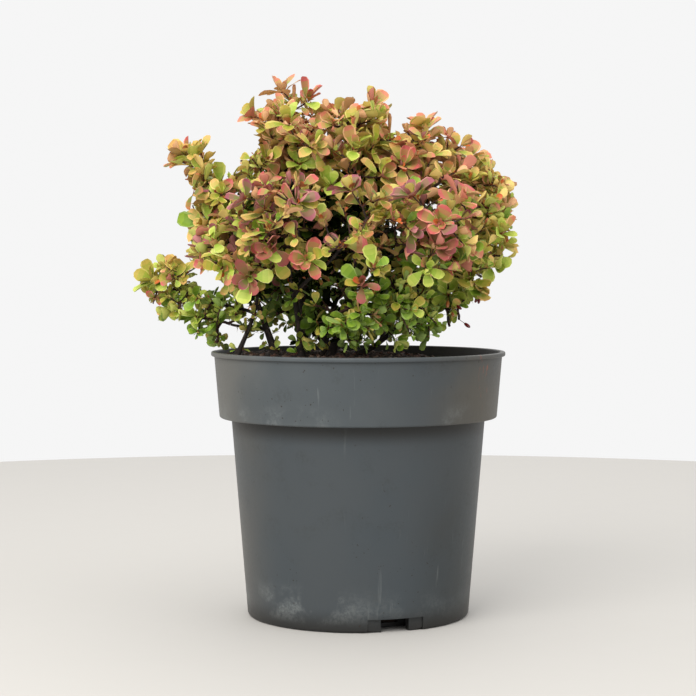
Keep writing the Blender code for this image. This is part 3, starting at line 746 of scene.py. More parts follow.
class Finish(Graph):
    """A material under construction: its Principled BSDF and its object coordinates."""

    def __init__(self, name, colour, roughness):
        self.material = bpy.data.materials.new(name)
        self.material.use_nodes = True
        super().__init__(self.material.node_tree)
        self.shader = self.tree.nodes["Principled BSDF"]
        self.shader.inputs["Base Color"].default_value = (*colour, 1.0)
        self.shader.inputs["Roughness"].default_value = roughness
        self.place = self.add("ShaderNodeTexCoord", output="Object")

    def set(self, name, value):
        self.feed(self.find(self.shader.inputs, name), value)

    def blend(self, factor, first, second):
        """The mix of two colours."""
        colours = {
            "A": first if isinstance(first, Term) else (*first, 1.0),
            "B": second if isinstance(second, Term) else (*second, 1.0),
        }
        return self.add("ShaderNodeMix", {"data_type": "RGBA"}, {"Factor": factor, **colours})

    def stretched(self, x, y, z):
        """The object coordinates, each axis by its own factor."""
        return self.vectors("MULTIPLY", self.place, (x, y, z))

    def over(self, axis, start, end):
        """A smooth rise from 0 to 1 between two places along an axis, in millimetres."""
        return self.step(axis, start * MM, end * MM)

    def gloss(self, grain, spread):
        """Roughness that follows a grain, evenly to both sides of the finish's own."""
        middle = self.shader.inputs["Roughness"].default_value
        self.set("Roughness", grain * spread + (middle - spread / 2))

    def bump(self, height, distance, strength=1.0):
        normal = self.add(
            "ShaderNodeBump", {}, {"Height": height, "Distance": distance, "Strength": strength},
        )
        self.set("Normal", normal)


class Maker(Graph):
    """A Geometry Nodes tree with named inputs, which turns an object into a plain mesh."""

    KINDS = {
        "number": "NodeSocketFloat",
        "length": "NodeSocketFloat",
        "count": "NodeSocketInt",
        "material": "NodeSocketMaterial",
        "collection": "NodeSocketCollection",
    }

    def __init__(self, name, inputs):
        super().__init__(bpy.data.node_groups.new(name, "GeometryNodeTree"))
        face = self.tree.interface
        face.new_socket("Geometry", in_out="INPUT", socket_type="NodeSocketGeometry")
        for label, kind in inputs.items():
            socket = face.new_socket(label, in_out="INPUT", socket_type=self.KINDS[kind])
            if kind == "length":
                socket.subtype = "DISTANCE"
        face.new_socket("Geometry", in_out="OUTPUT", socket_type="NodeSocketGeometry")
        self.entry = self.tree.nodes.new("NodeGroupInput")

    def given(self, label):
        return Term(self, self.find(self.entry.outputs, label))

    def attribute(self, name, kind="FLOAT"):
        return self.add("GeometryNodeInputNamedAttribute", {"data_type": kind}, {"Name": name})

    def store(self, geometry, name, value, kind="FLOAT", domain="POINT"):
        return self.add(
            "GeometryNodeStoreNamedAttribute", {"data_type": kind, "domain": domain},
            {"Geometry": geometry, "Name": name, "Value": value},
        )

    def random(self, kind, low, high, seed):
        return self.add(
            "FunctionNodeRandomValue", {"data_type": kind}, {"Min": low, "Max": high, "Seed": seed},
        )

    def copies(self, points, pick, turn, scale):
        """A copy of one of the shapes on each point, by its number, its angles and its scale."""
        shapes = self.add("GeometryNodeCollectionInfo", {}, {
            "Collection": self.given("Shapes"),
            "Separate Children": True,
            "Reset Children": True,
        })
        return self.add("GeometryNodeInstanceOnPoints", {}, {
            "Points": points,
            "Instance": shapes,
            "Pick Instance": True,
            "Instance Index": pick,
            "Rotation": self.add("FunctionNodeEulerToRotation", {}, {"Euler": turn}),
            "Scale": scale,
        })

    def realized(self, instances):
        return self.add("GeometryNodeRealizeInstances", {}, {"Geometry": instances})

    def painted(self, geometry, material, selection=None):
        sockets = {"Geometry": geometry, "Material": material}
        if selection:
            sockets["Selection"] = selection
        return self.add("GeometryNodeSetMaterial", {}, sockets)

    def dyed(self, geometry, code, finishes):
        """Gives each face the finish that has the face's code as its place in the list."""
        for index, finish in enumerate(finishes):
            chosen = self.add(
                "FunctionNodeCompare", {"data_type": "INT", "operation": "EQUAL"},
                {"A": code, "B": index},
            )
            geometry = self.painted(geometry, finish, chosen)
        return geometry

    def end(self, geometry):
        self.add("NodeGroupOutput", {}, {"Geometry": geometry})

    def make(self, piece, values):
        """Runs the tree on an object and leaves the result as the object's plain mesh."""
        modifier = piece.modifiers.new(self.tree.name, "NODES")
        modifier.node_group = self.tree
        for item in self.tree.interface.items_tree:
            if item.in_out == "INPUT" and item.name in values:
                modifier[item.identifier] = values[item.name]
        plain_mesh(piece)


def plain_mesh(piece):
    """Replaces an object's mesh by its evaluated one, and takes its modifiers off."""
    graph = bpy.context.evaluated_depsgraph_get()
    mesh = bpy.data.meshes.new_from_object(
        piece.evaluated_get(graph), preserve_all_data_layers=True, depsgraph=graph,
    )
    piece.modifiers.clear()
    while mesh.materials and mesh.materials[0] is None:
        mesh.materials.pop(index=0)
    old, piece.data = piece.data, mesh
    bpy.data.meshes.remove(old)
    mesh.name = piece.name


def add_object(name, mesh, *materials):
    made = bpy.data.objects.new(name, mesh)
    bpy.context.scene.collection.objects.link(made)
    for material in materials:
        mesh.materials.append(material)
    return made


def mesh_of(name, shape):
    """Turns a bmesh into a mesh, and frees the bmesh."""
    mesh = bpy.data.meshes.new(name)
    shape.to_mesh(mesh)
    shape.free()
    return mesh


def seat(piece, slot, *nodes):
    """Makes a piece move with the plant and hides the CAD nodes that it stands for; the slot is not
    used.
    """
    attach(piece, "root")
    if nodes:
        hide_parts(*nodes)


def curve_points(start, start_way, end, end_way, steps, pull=0.36):
    """Points of one smooth arc that leaves and arrives along the given ways."""
    reach = (end - start).length * pull
    a, b = start + start_way * reach, end - end_way * reach
    points = []
    for step in range(steps + 1):
        t = step / steps
        s = 1 - t
        points.append(start * s**3 + a * 3 * s * s * t + b * 3 * s * t * t + end * t**3)
    return points


def across(way):
    """Two unit vectors square to a way and to each other."""
    side = way.cross(Vector((0, 1, 0)) if abs(way.y) < 0.9 else Vector((1, 0, 0))).normalized()
    return side, way.cross(side).normalized()


def tapered(radii, steps):
    return [radii[0] + (radii[1] - radii[0]) * step / steps for step in range(steps + 1)]


def flared(radii, steps, size=1.0):
    """Tapering radii that swell towards the foot."""
    swollen = []
    for step, radius in enumerate(tapered(radii, steps)):
        swollen.append(radius * size * (1 + FLARE * math.exp(-step / steps / FLARE_REACH)))
    return swollen


def mixed(first, second, share):
    return first + (second - first) * share


def soil_height(x, y):
    """The soil's top, level round its heart and falling away from it."""
    away = (Vector((x, y)) - SOIL_HEART).length
    share = min(1.0, max(0.0, (away - SOIL_FLAT_RADIUS) / SOIL_FALL))
    return SOIL_TOP - (SOIL_TOP - SOIL_EDGE) * share * share * (3 - 2 * share)


def is_open(point, bold=False):
    """Whether a point lies in one of the crown's open places. A bold rosette may stand in a
    recess, and keeps out of only the places that are open to the sky."""
    for x, z, radius, back in OPENINGS:
        if bold and back < SKY:
            continue
        if point.y < back * MM and math.hypot(point.x - x * MM, point.z - z * MM) < radius * MM:
            return True
    return False


def is_bold(tint):
    """Whether a shoot's tint is one that shows at the outside of the crown."""
    return tint is not None and FAMILIES[tint].outside > 0


def is_proud(point):
    """Whether a point lies too far outside the frame's box."""
    low, high = CAD_BOX
    return any(not low[axis] - BOX_ROOM < point[axis] < high[axis] + BOX_ROOM for axis in range(3))


def lowest_leaf(x, y, droop=0.0):
    """How low a leaf may hang: over the soil inside the pot, over the rim, and above the
    crown's rising underside, less a bold leaf's droop."""
    floor = soil_height(x, y) + SOIL_GAP
    if math.hypot(x, y) > BAND_TOP_RADIUS - WALL - RIM_ROOM:
        floor = POT_HEIGHT + RIM_GAP
    past = max(0.0, (Vector((x, y)) - UNDERSIDE_AXIS).length - UNDERSIDE_RADIUS)
    return max(floor, POT_HEIGHT + past * past * UNDERSIDE_RISE - droop)


class Limb:
    """The path and radii of a stem, bough or twig."""

    def __init__(self, points, radii):
        self.points = points
        self.radii = radii

    def at(self, share):
        place = share * (len(self.points) - 1)
        index = min(int(place), len(self.points) - 2)
        a, b = self.points[index], self.points[index + 1]
        return a.lerp(b, place - index), (b - a).normalized()

    @property
    def tip_way(self):
        return (self.points[-1] - self.points[-2]).normalized()

    @property
    def length(self):
        return sum((b - a).length for a, b in zip(self.points, self.points[1:]))


def stem_limb(stem):
    mass = MASSES[stem.mass]
    tip = mass.centre - stem.arrive * mass.reach * MASS_ENTRY
    points = curve_points(stem.foot, stem.rise, tip, stem.arrive, STEM_STEPS)
    return Limb(points, flared(STEM_RADII, STEM_STEPS, stem.size))


def bough_limb(mass, stem):
    """A bough leaves its stem's axis and ends where it enters its mass."""
    start, stem_way = stem.at(mass.share)
    toward = (mass.centre - start).normalized()
    end = mass.centre - toward * mass.reach * MASS_ENTRY
    leave = (stem_way * BOUGH_LEAVE + toward).normalized()
    arrive = (toward + Vector((0, 0, BOUGH_RISE))).normalized()
    points = curve_points(start, leave, end, arrive, BOUGH_STEPS)
    return Limb(points, flared(BOUGH_RADII, BOUGH_STEPS))


class Space:
    """The room of one mass: above the soil and the rim, and on its own side of the plane
    where its reach meets each neighbour's."""

    def __init__(self, name):
        self.mass = MASSES[name]
        self.others = []
        for other_name, other in MASSES.items():
            if other_name != name:
                self.others.append((other, (other.centre - self.mass.centre).length))

    def holds(self, point, margin, droop=0.0):
        if point.z < lowest_leaf(point.x, point.y, droop):
            return False
        own = (point - self.mass.centre).length_squared - self.mass.reach**2
        for other, apart in self.others:
            theirs = (point - other.centre).length_squared - other.reach**2
            if (theirs - own) / (2 * apart) < margin:
                return False
        return True


class Leaf:
    """One leaf's place: root, way, upper side, length, width and family."""

    def __init__(self, root, ahead, above, length, width, family):
        self.root = root
        self.ahead = ahead
        self.above = above
        self.length = length
        self.width = width
        self.family = family


class Growth:
    """The seeded rule by which one mass grows: a main twig from the limb's tip, side twigs to
    evenly spread places, finer twigs between them, and rosettes turned round each twig."""

    def __init__(self, name, limb, look, wood):
        self.mass = MASSES[name]
        self.limb = limb
        self.look = look
        self.wood = wood
        self.space = Space(name)
        self.rng = random.Random(name)
        self.start = limb.points[-1] + limb.tip_way * CLEARANCE
        self.strong = {}
        self.proud = 0.0
        self.bold = False
        self.twigs = []
        self.leaves = []
        self.thorns = []
        self.berries = []

    def add_twig(self, start, start_way, end, radii):
        end_way = (end - start).normalized()
        points = curve_points(start, start_way, end, end_way, TWIG_STEPS)
        self.twigs.append(Limb(points, tapered(radii, TWIG_STEPS)))

    def grow_main_twig(self):
        way = self.limb.tip_way
        end = self.mass.tip or self.mass.centre + way * self.mass.reach * MAIN_TWIG_REACH
        self.add_twig(self.start, way, end, TWIG_RADII)
        if self.mass.sprig:
            self.strong[len(self.twigs)] = self.mass.tint
            self.add_twig(end, self.twigs[0].tip_way, self.mass.sprig, FINE_RADII)

    def twig_ends(self, count, shell, nearest, draws, margin):
        """Places for twigs' ends, each the furthest of many draws from those before it."""
        mass, rng = self.mass, self.rng
        taken = [twig.points[-1] for twig in self.twigs]
        for _ in range(count):
            best, best_gap = None, nearest
            for _ in range(draws):
                way = Vector([rng.gauss(0, 1) for _ in range(3)]).normalized()
                place = mass.centre + way * mass.reach * rng.uniform(*shell)
                if is_open(place) or not self.space.holds(place, margin):
                    continue
                gap = min((place - other).length for other in taken)
                if gap > best_gap:
                    best, best_gap = place, gap
            if best is None:
                return
            taken.append(best)
            yield best

    def nearest_joint(self, place):
        """The point of the twigs, nearer the limb than the place is, that is closest to it."""
        reach = (place - self.start).length
        found = None
        for twig in self.twigs:
            joints = twig.points[::JOINT_STEP]
            for a, b in zip(joints, joints[1:]):
                for share in JOINT_SHARES:
                    joint = a.lerp(b, share)
                    if (joint - self.start).length > reach * JOINT_REACH:
                        continue
                    gap = (joint - place).length
                    if found is None or gap < found[0]:
                        found = (gap, joint, (b - a).normalized())
        return found

    def grow_side_twigs(self, places, radii):
        for place in places:
            found = self.nearest_joint(place)
            if found is None:
                continue
            _, joint, way = found
            toward = (place - joint).normalized()
            self.add_twig(joint, (way * TWIG_LEAVE + toward).normalized(), place, radii)

    def grow_twigs(self):
        self.grow_main_twig()
        ends = self.twig_ends(TWIGS_PER_MASS - 1, TWIG_SHELL, TWIG_NEAREST, TWIG_DRAWS, TWIG_MARGIN)
        self.grow_side_twigs(ends, TWIG_RADII)
        for end, tint in self.mass.shoots:
            self.strong[len(self.twigs)] = tint
            self.grow_side_twigs([end], FINE_RADII)
        count = round(self.look.fine_twigs * self.mass.full)
        ends = self.twig_ends(count, FINE_SHELL, FINE_NEAREST, FINE_DRAWS, FINE_MARGIN)
        self.grow_side_twigs(ends, FINE_RADII)

    def facing(self, root, flat, way, lean, bold=False):
        """The way a bud faces: off its twig, away from the crown's heart and a little up. A
        bold one at the side of the crown turns to the sunny side too."""
        outward = (root - CROWN_HEART).normalized()
        light = Vector((0, 0, BUD_UP)) + outward * BUD_OUT
        if bold:
            light = Vector((0, -BOLD_SUN * (1 + outward.y) ** 2, BOLD_UP)) + outward * BOLD_OUT
        return (flat + way * lean + light).normalized()

    def grow_rosettes(self):
        rng, look = self.rng, self.look
        for order, twig in enumerate(self.twigs):
            count = max(1, round(twig.length * (1 - FIRST_BUD) / look.bud_spacing))
            around = rng.uniform(0, math.tau)
            for index in range(count):
                root, way = twig.at(FIRST_BUD + (1 - FIRST_BUD) * index / count)
                side, other = across(way)
                flat = side * math.cos(around) + other * math.sin(around)
                leaves = look.rosette + rng.randint(-1, 1)
                self.grow_rosette(root, self.facing(root, flat, way, BUD_LEAN), leaves, SIDE_SIZE)
                if rng.random() < THORN_SHARE:
                    ahead = (flat - way * THORN_BACK).normalized()
                    self.thorns.append((root, ahead, rng.uniform(*THORN_SIZES)))
                around += GOLDEN_TURN
            end, way = twig.at(1.0)
            strong = order in self.strong
            leaves = look.rosette + rng.randint(*TIP_LEAVES) + SHOOT_LEAVES * strong
            vigour = SHOOT_SIZE if strong else TIP_SIZE
            tint = self.strong.get(order)
            self.grow_rosette(end, self.facing(end, way, way, 1.0, is_bold(tint)), leaves, vigour, tint)

    def grow_spurs(self, limbs):
        """Small rosettes on short spurs along the limbs themselves, in no mass's room."""
        rng, look = self.rng, self.look
        self.space = None
        for limb in limbs:
            around = rng.uniform(0, math.tau)
            count = round(limb.length * (1 - SPUR_START) / SPUR_SPACING)
            for index in range(count):
                share = SPUR_START + (1 - SPUR_START) * ((index + rng.random()) / count) ** SPUR_CROWDING
                point, way = limb.at(min(share, SPUR_LAST))
                side, other = across(way)
                flat = side * math.cos(around) + other * math.sin(around)
                root = point + flat * limb.radii[0] * SPUR_ROOT
                axis = self.facing(root, flat * SPUR_OUT, way, SPUR_LEAN)
                self.grow_rosette(root, axis, look.rosette + rng.randint(-1, 1), SPUR_SIZE)
                self.thorns.append((root, flat, rng.uniform(*SPUR_THORN_SIZES)))
                around += GOLDEN_TURN

    def deal_family(self, root, height):
        """The colour family of a rosette, by its height, how far out it sits and how far to the
        front, and how far out that is."""
        away = root - CROWN_HEART
        shares = [away[axis] / CROWN_RADII[axis] for axis in range(3)]
        outness = min(1.0, Vector(shares).length)
        frontness = -away.y / CROWN_RADII.y
        weights = []
        for name in DEALT:
            favour = FAVOUR if name in self.mass.tints else 1.0
            weights.append(favour * FAMILIES[name].weight(height, outness, frontness))
        return self.rng.choices(range(len(DEALT)), weights)[0], outness

    def grow_rosette(self, root, axis, count, vigour, tint=None):
        """Leaves spread round a bud: the oldest lie flat, the youngest stand in the middle."""
        rng = self.rng
        self.proud = rng.uniform(*LEAF_PROUD)
        side, other = across(axis)
        around = rng.uniform(0, math.tau)
        height = (root.z - CROWN_FOOT) / (CROWN_TOP - CROWN_FOOT)
        family, outness = self.deal_family(root, height)
        if tint:
            family = DEALT.index(tint)
        bold = self.bold = is_bold(tint)
        by_height = mixed(LOW_LEAF, HIGH_LEAF, min(1.0, max(0.0, height * 2.0)))
        if bold:
            by_height = HIGH_LEAF
        spread = rng.uniform(*ROSETTE_SIZES)
        size = self.look.length * vigour * by_height * (max(1.0, spread) if bold else spread)
        for index in range(count):
            youth = index / max(1, count - 1)
            tilt = math.radians(mixed(OLD_TILT, YOUNG_TILT, youth) + rng.gauss(0, TILT_STRAY))
            radial = side * math.cos(around) + other * math.sin(around)
            ahead = axis * math.cos(tilt) + radial * math.sin(tilt)
            above = axis * math.sin(tilt) - radial * math.cos(tilt)
            above = Matrix.Rotation(math.radians(rng.gauss(0, ROLL_STRAY)), 3, ahead) @ above
            above = (above + Vector((0, 0, LEAF_SKYWARD))).normalized()
            length = size * mixed(1.0, YOUNG_LENGTH, youth**YOUTH_POWER) * rng.uniform(*LEAF_SIZES)
            chosen = family
            if rng.random() < STRAY_SHARE:
                chosen = self.deal_family(root, height)[0]
            if youth > EMBER_YOUTH and rng.random() < outness * height:
                chosen = DEALT.index("ember")
            self.keep_leaf(Leaf(
                root + ahead * LEAF_LIFT, ahead, above, length, rng.uniform(*LEAF_BREADTH), chosen,
            ))
            around += GOLDEN_TURN + rng.gauss(0, TURN_STRAY)

    def keep_leaf(self, leaf):
        """Keeps a leaf whose blade stays in its mass's room and reach, clear of the stems."""
        overlap, droop = (BOLD_OVERLAP, BOLD_DROOP) if self.bold else (LEAF_OVERLAP, 0.0)
        for share in BLADE_CHECKS:
            point = leaf.root + leaf.ahead * leaf.length * share
            if self.space and not (self.space.holds(point, overlap, droop) and self.reaches(point)):
                return
            low = point.z < lowest_leaf(point.x, point.y, droop)
            if low or is_open(point, self.bold) or is_proud(point):
                return
            _, index, gap = self.wood.tree.find(point)
            if gap < self.wood.radii[index] + WOOD_GAP:
                return
        self.leaves.append(leaf)

    def reaches(self, point):
        """Whether a leaf's tip stays within the mass's reach, or near one of its shoots."""
        mass = self.mass
        if (point - mass.centre).length < mass.reach + self.proud:
            return True
        ends = [end for end, _ in mass.shoots] + ([mass.sprig] if mass.sprig else [])
        return any((point - end).length < SHOOT_REACH for end in ends)

    def grow_berries(self):
        """Berries that hang on thin stalks from the twigs nearest to their places."""
        for place, tint in self.mass.berries:
            points = [point for twig in self.twigs for point in twig.points]
            root = min(points, key=lambda point: (point - place).length)
            toward = (place - root).normalized()
            hang = (toward + Vector((0, 0, -BERRY_SAG))).normalized()
            self.berries.append((root, hang, self.rng.uniform(*BERRY_SIZES), tint))

    def grow(self, limbs):
        self.grow_twigs()
        self.grow_berries()
        self.grow_rosettes()
        self.grow_spurs(limbs)
        return self


class Wood:
    """All limbs' points, to look up the nearest one."""

    def __init__(self, limbs):
        self.radii = []
        self.tree = KDTree(sum(len(limb.points) for limb in limbs))
        for limb in limbs:
            for point, radius in zip(limb.points, limb.radii):
                self.tree.insert(point, len(self.radii))
                self.radii.append(radius)
        self.tree.balance()


class Shrub:
    """Everything that grows: limbs by stem, and the growth of each mass."""

    def __init__(self, look):
        stems = {name: stem_limb(stem) for name, stem in STEMS.items()}
        self.limbs = {name: {name: limb} for name, limb in stems.items()}
        carriers = {}
        for name, mass in MASSES.items():
            if mass.share is None:
                carriers[name] = stems[mass.stem]
                continue
            bough = bough_limb(mass, stems[mass.stem])
            carriers[name] = bough
            self.limbs[mass.stem][name.replace("leaves", "bough")] = bough
        wood = Wood([limb for group in self.limbs.values() for limb in group.values()])
        self.growths = {}
        for name in MASSES:
            self.growths[name] = Growth(name, carriers[name], look, wood).grow([carriers[name]])

    def masses_of(self, stem):
        return {name: self.growths[name] for name, mass in MASSES.items() if mass.stem == stem}


@functools.cache
def grown(fine_twigs, bud_spacing, rosette, length):
    """The shrub of the given sizes, grown once for all the pieces that read it."""
    return Shrub(bpy.context.scene.barberry_leaves)


def shrub():
    look = bpy.context.scene.barberry_leaves
    return grown(look.fine_twigs, look.bud_spacing, look.rosette, look.length)


def path_mesh(name, limbs, wander=0.0, foot=0.0):
    """A mesh of loose lines along the limbs, with their radius at each point."""
    points, edges, radii = [], [], []
    rng = random.Random(name)
    for limb in limbs:
        first = len(points)
        for index, point in enumerate(limb.points):
            drift = wander if 0 < index < len(limb.points) - 1 else 0.0
            points.append(point + Vector([rng.gauss(0, 1) for _ in range(3)]) * drift)
            radii.append(limb.radii[index])
            if index:
                edges.append((first + index - 1, first + index))
        if foot:
            points[first] = points[first] - Vector((0, 0, foot))
            foot = 0.0
    mesh = bpy.data.meshes.new(name)
    mesh.from_pydata(points, edges, [])
    mesh.attributes.new("radius", "FLOAT", "POINT").data.foreach_set("value", radii)
    return mesh


def tube_maker():
    """Lines become tapering tubes, with ridges and furrows where the relief has a height."""
    maker = Maker("bark_tubes", {
        "Sides": "count",
        "Ring spacing": "length",
        "Relief": "number",
        "Bark": "material",
        "Ridges": "material",
    })
    lines = maker.add("GeometryNodeMeshToCurve", {}, {"Mesh": maker.given("Geometry")})
    lines = maker.add(
        "GeometryNodeResampleCurve", {"mode": "LENGTH"},
        {"Curve": lines, "Length": maker.given("Ring spacing")},
    )
    along = maker.add("GeometryNodeSplineParameter", output="Length")
    lines = maker.store(lines, "along", along)
    outline = maker.add(
        "GeometryNodeCurvePrimitiveCircle", {}, {"Resolution": maker.given("Sides"), "Radius": 1.0},
    )
    outline = maker.store(outline, "around", maker.add("GeometryNodeInputPosition"), "FLOAT_VECTOR")
    tubes = maker.add("GeometryNodeCurveToMesh", {}, {
        "Curve": lines,
        "Profile Curve": outline,
        "Scale": maker.attribute("radius"),
        "Fill Caps": True,
    })
    climb = maker.add("ShaderNodeCombineXYZ", {}, {"Z": maker.attribute("along") * BARK_STRETCH})
    place = maker.vectors("ADD", maker.attribute("around", "FLOAT_VECTOR"), climb)
    place = maker.vectors("ADD", place, maker.add("GeometryNodeInputPosition"))
    ridge = maker.noise(place, RIDGE_SCALE, detail=3.0, roughness=0.6)
    knot = maker.noise(maker.vectors("SCALE", place, KNOT_SCALE), 1.0)
    height = (ridge - 0.5) * maker.given("Relief") + (knot - 0.5) * maker.given("Relief")
    offset = maker.vectors(
        "SCALE", maker.add("GeometryNodeInputNormal"), height * maker.attribute("radius"),
    )
    tubes = maker.store(tubes, "ridge", ridge)
    tubes = maker.add("GeometryNodeSetPosition", {}, {"Geometry": tubes, "Offset": offset})
    tubes = maker.add("GeometryNodeSetShadeSmooth", {}, {"Geometry": tubes})
    tubes = maker.painted(maker.realized(tubes), maker.given("Bark"))
    high = maker.add(
        "FunctionNodeCompare", {"operation": "GREATER_THAN"},
        {"A": maker.attribute("ridge"), "B": RIDGE_LEVEL},
    )
    maker.end(maker.painted(tubes, maker.given("Ridges"), high))
    return maker


def scatter_maker(name, finishes, zones):
    """Points become turned and sized copies of the shapes in a collection, and each face is
    painted by its spray's tint and its own zone."""
    maker = Maker(name, {"Shapes": "collection", "Kinds": "count", "Seed": "count"})
    pick = maker.random("INT", 0, maker.given("Kinds") - 1.0, maker.given("Seed"))
    turn, size = maker.attribute("turn", "FLOAT_VECTOR"), maker.attribute("size", "FLOAT_VECTOR")
    result = maker.realized(maker.copies(maker.given("Geometry"), pick, turn, size))
    code = maker.attribute("tint", "INT") * float(zones) + maker.attribute("zone", "INT")
    maker.end(maker.dyed(result, code, finishes))
    return maker


def scatter_mesh(name, placed):
    """A mesh of loose points, each with its turn, size and tint, from (root, ahead, above,
    size, tint) rows: a copy's +X lies along `ahead` and its +Z towards `above`."""
    turns, sizes, tints = [], [], []
    for _, ahead, above, size, tint in placed:
        beside = above.cross(ahead).normalized()
        above = ahead.cross(beside)
        turns.extend(Matrix((ahead, beside, above)).transposed().to_euler("XYZ"))
        sizes.extend(size)
        tints.append(tint)
    mesh = bpy.data.meshes.new(name)
    mesh.from_pydata([row[0] for row in placed], [], [])
    mesh.attributes.new("turn", "FLOAT_VECTOR", "POINT").data.foreach_set("vector", turns)
    mesh.attributes.new("size", "FLOAT_VECTOR", "POINT").data.foreach_set("vector", sizes)
    mesh.attributes.new("tint", "INT", "POINT").data.foreach_set("value", tints)
    return mesh


def even_row(root, ahead, length, tint):
    """A scatter mesh's row for a shape that is sized alike along all its axes."""
    return root, ahead, across(ahead)[0], (length, length, length), tint


class ShapeBox:
    """A hidden collection of shapes that a tree copies, emptied once they are copied."""

    def __init__(self, name):
        self.collection = bpy.data.collections.new(name)

    def add(self, name, mesh):
        self.collection.objects.link(bpy.data.objects.new(name, mesh))

    def scatter(self, name, placed, maker, seed=1):
        """The piece that a scatter tree makes of the shapes at the given rows."""
        piece = add_object(name, scatter_mesh(name, placed))
        kinds = len(self.collection.objects)
        maker.make(piece, {"Shapes": self.collection, "Kinds": kinds, "Seed": seed})
        return piece

    def empty(self):
        for shape in list(self.collection.objects):
            bpy.data.objects.remove(shape, do_unlink=True)
        bpy.data.collections.remove(self.collection)


def leaf_mesh(name, width, wedge, cup, fold, bend, wave):
    """A closed leaf one unit long, +X towards its tip and +Z its upper side: a stalk, a blade
    with a midrib that is folded, cupped and bent, and a thin rim. The blade widens from its
    foot by the power `wedge`."""
    shape = bmesh.new()
    zone = shape.faces.layers.int.new("zone")
    widest = wedge / (wedge + 0.5)
    scale = width / (widest**wedge * (1 - widest) ** 0.5)

    def half_width(share):
        return scale * share**wedge * (1 - share) ** 0.5

    def lift(share, column):
        half = half_width(share)
        ripple = wave * math.sin(share * 9.0 + column) * abs(column)
        return fold * abs(column) * half + cup * column * column * half - bend * share**2 + ripple

    def place(share, column, drop=0.0):
        along = BLADE_FOOT + (1 - BLADE_FOOT) * share
        return shape.verts.new((along, column * half_width(share), lift(share, column) - drop))

    def face(corners, kind):
        made = shape.faces.new(corners)
        made[zone] = kind
        made.smooth = True

    thin, end = STALK_WIDTH, BLADE_FOOT
    foot = [shape.verts.new(corner) for corner in ((0, thin, 0), (0, -thin, 0), (0, 0, -2 * thin))]
    corners = ((end, thin, 0.2 * thin), (end, -thin, 0.2 * thin), (end, 0, -1.6 * thin))
    neck = [shape.verts.new(corner) for corner in corners]
    face(list(reversed(foot)), STALK)
    for index in range(3):
        after = (index + 1) % 3
        face((foot[index], foot[after], neck[after], neck[index]), STALK)
    tops = [[place(share, column) for column in LEAF_COLUMNS] for share in LEAF_STATIONS]
    ribs = [place(share, 0.0, LEAF_THICKNESS) for share in LEAF_STATIONS]
    first, rib = tops[0], ribs[0]
    shoulders = (
        (neck[1], first[1], first[0]), (neck[1], first[2], first[1]), (neck[1], neck[0], first[2]),
        (neck[0], first[3], first[2]), (neck[0], first[4], first[3]),
    )
    for corners in shoulders:
        face(corners, HEART)
    face((neck[1], first[0], rib, neck[2]), UNDER)
    face((neck[0], neck[2], rib, first[4]), UNDER)
    for index, (row, after) in enumerate(zip(tops, tops[1:])):
        for column in range(4):
            kind = BLADE_ZONES[index] if column in (1, 2) else RIM
            face((row[column], row[column + 1], after[column + 1], after[column]), kind)
        face((row[0], after[0], ribs[index + 1], ribs[index]), UNDER)
        face((row[4], ribs[index], ribs[index + 1], after[4]), UNDER)
    tip = place(1.0, 0.0)
    last = tops[-1]
    for column in range(4):
        face((last[column], last[column + 1], tip), OUTER if column in (1, 2) else RIM)
    face((last[0], tip, ribs[-1]), UNDER)
    face((last[4], ribs[-1], tip), UNDER)
    bmesh.ops.recalc_face_normals(shape, faces=shape.faces)
    for edge in shape.edges:
        kinds = {linked[zone] == UNDER for linked in edge.link_faces}
        edge.smooth = len(kinds) == 1
    return mesh_of(name, shape)


LEAF_FORMS = {
    "leaf_spoon": dict(width=0.33, wedge=1.15, cup=0.24, fold=0.12, bend=-0.14, wave=0.004),
    "leaf_round": dict(width=0.37, wedge=1.00, cup=0.30, fold=0.06, bend=0.16, wave=0.010),
    "leaf_folded": dict(width=0.32, wedge=0.95, cup=0.16, fold=0.28, bend=0.20, wave=0.008),
    "leaf_wavy": dict(width=0.33, wedge=1.35, cup=-0.20, fold=0.20, bend=0.24, wave=0.030),
    "leaf_curled": dict(width=0.34, wedge=1.05, cup=0.34, fold=0.12, bend=-0.32, wave=0.014),
    "leaf_narrow": dict(width=0.26, wedge=1.00, cup=0.18, fold=0.20, bend=0.10, wave=0.010),
}


def leaf_finish(name, colour, roughness, shine=LEAF_SHINE):
    """A leaf colour: plain, with a faintly veined and uneven gloss."""
    finish = Finish(name, colour, roughness)
    finish.gloss(finish.noise(finish.place, 420.0, detail=3.0), 0.3)
    finish.bump(finish.noise(finish.place, 900.0), 0.15 * MM, 0.6)
    finish.set("Specular IOR Level", shine)
    return finish.material


def leaf_finishes(look):
    """The colours of every family in the order of the zones, with one colour for all stalks."""
    stalk = leaf_finish("leaf_stalk", paint(168, 92, 60), look.roughness)
    finishes = []
    for name in DEALT:
        heart, outer, rim, under = (
            Vector(getattr(look, f"{name}_{zone}")) for zone in FAMILY_ZONES
        )
        shine = DARK_SHINE if FAMILIES[name].outside < 0 else LEAF_SHINE
        # The rim colour is partly the margin's own tint and partly a painted highlight, and the under
        # colour is lightened as painted light through the leaf
        rows = (
            ("heart", heart, 0.0), ("middle", heart.lerp(outer, 0.5), 0.0), ("outer", outer, 0.0),
            ("rim", rim, 0.0), ("under", under, UNDER_DULLER),
        )
        for zone, colour, duller in rows:
            finishes.append(leaf_finish(f"{name}_{zone}", colour, look.roughness + duller, shine))
        finishes.append(stalk)
    return finishes


def arc(centre, radius, start, end, steps):
    """Points of a round corner, from one angle to another in degrees."""
    points = []
    for step in range(steps + 1):
        angle = math.radians(mixed(start, end, step / steps))
        points.append((centre[0] + radius * math.cos(angle), centre[1] + radius * math.sin(angle)))
    return points


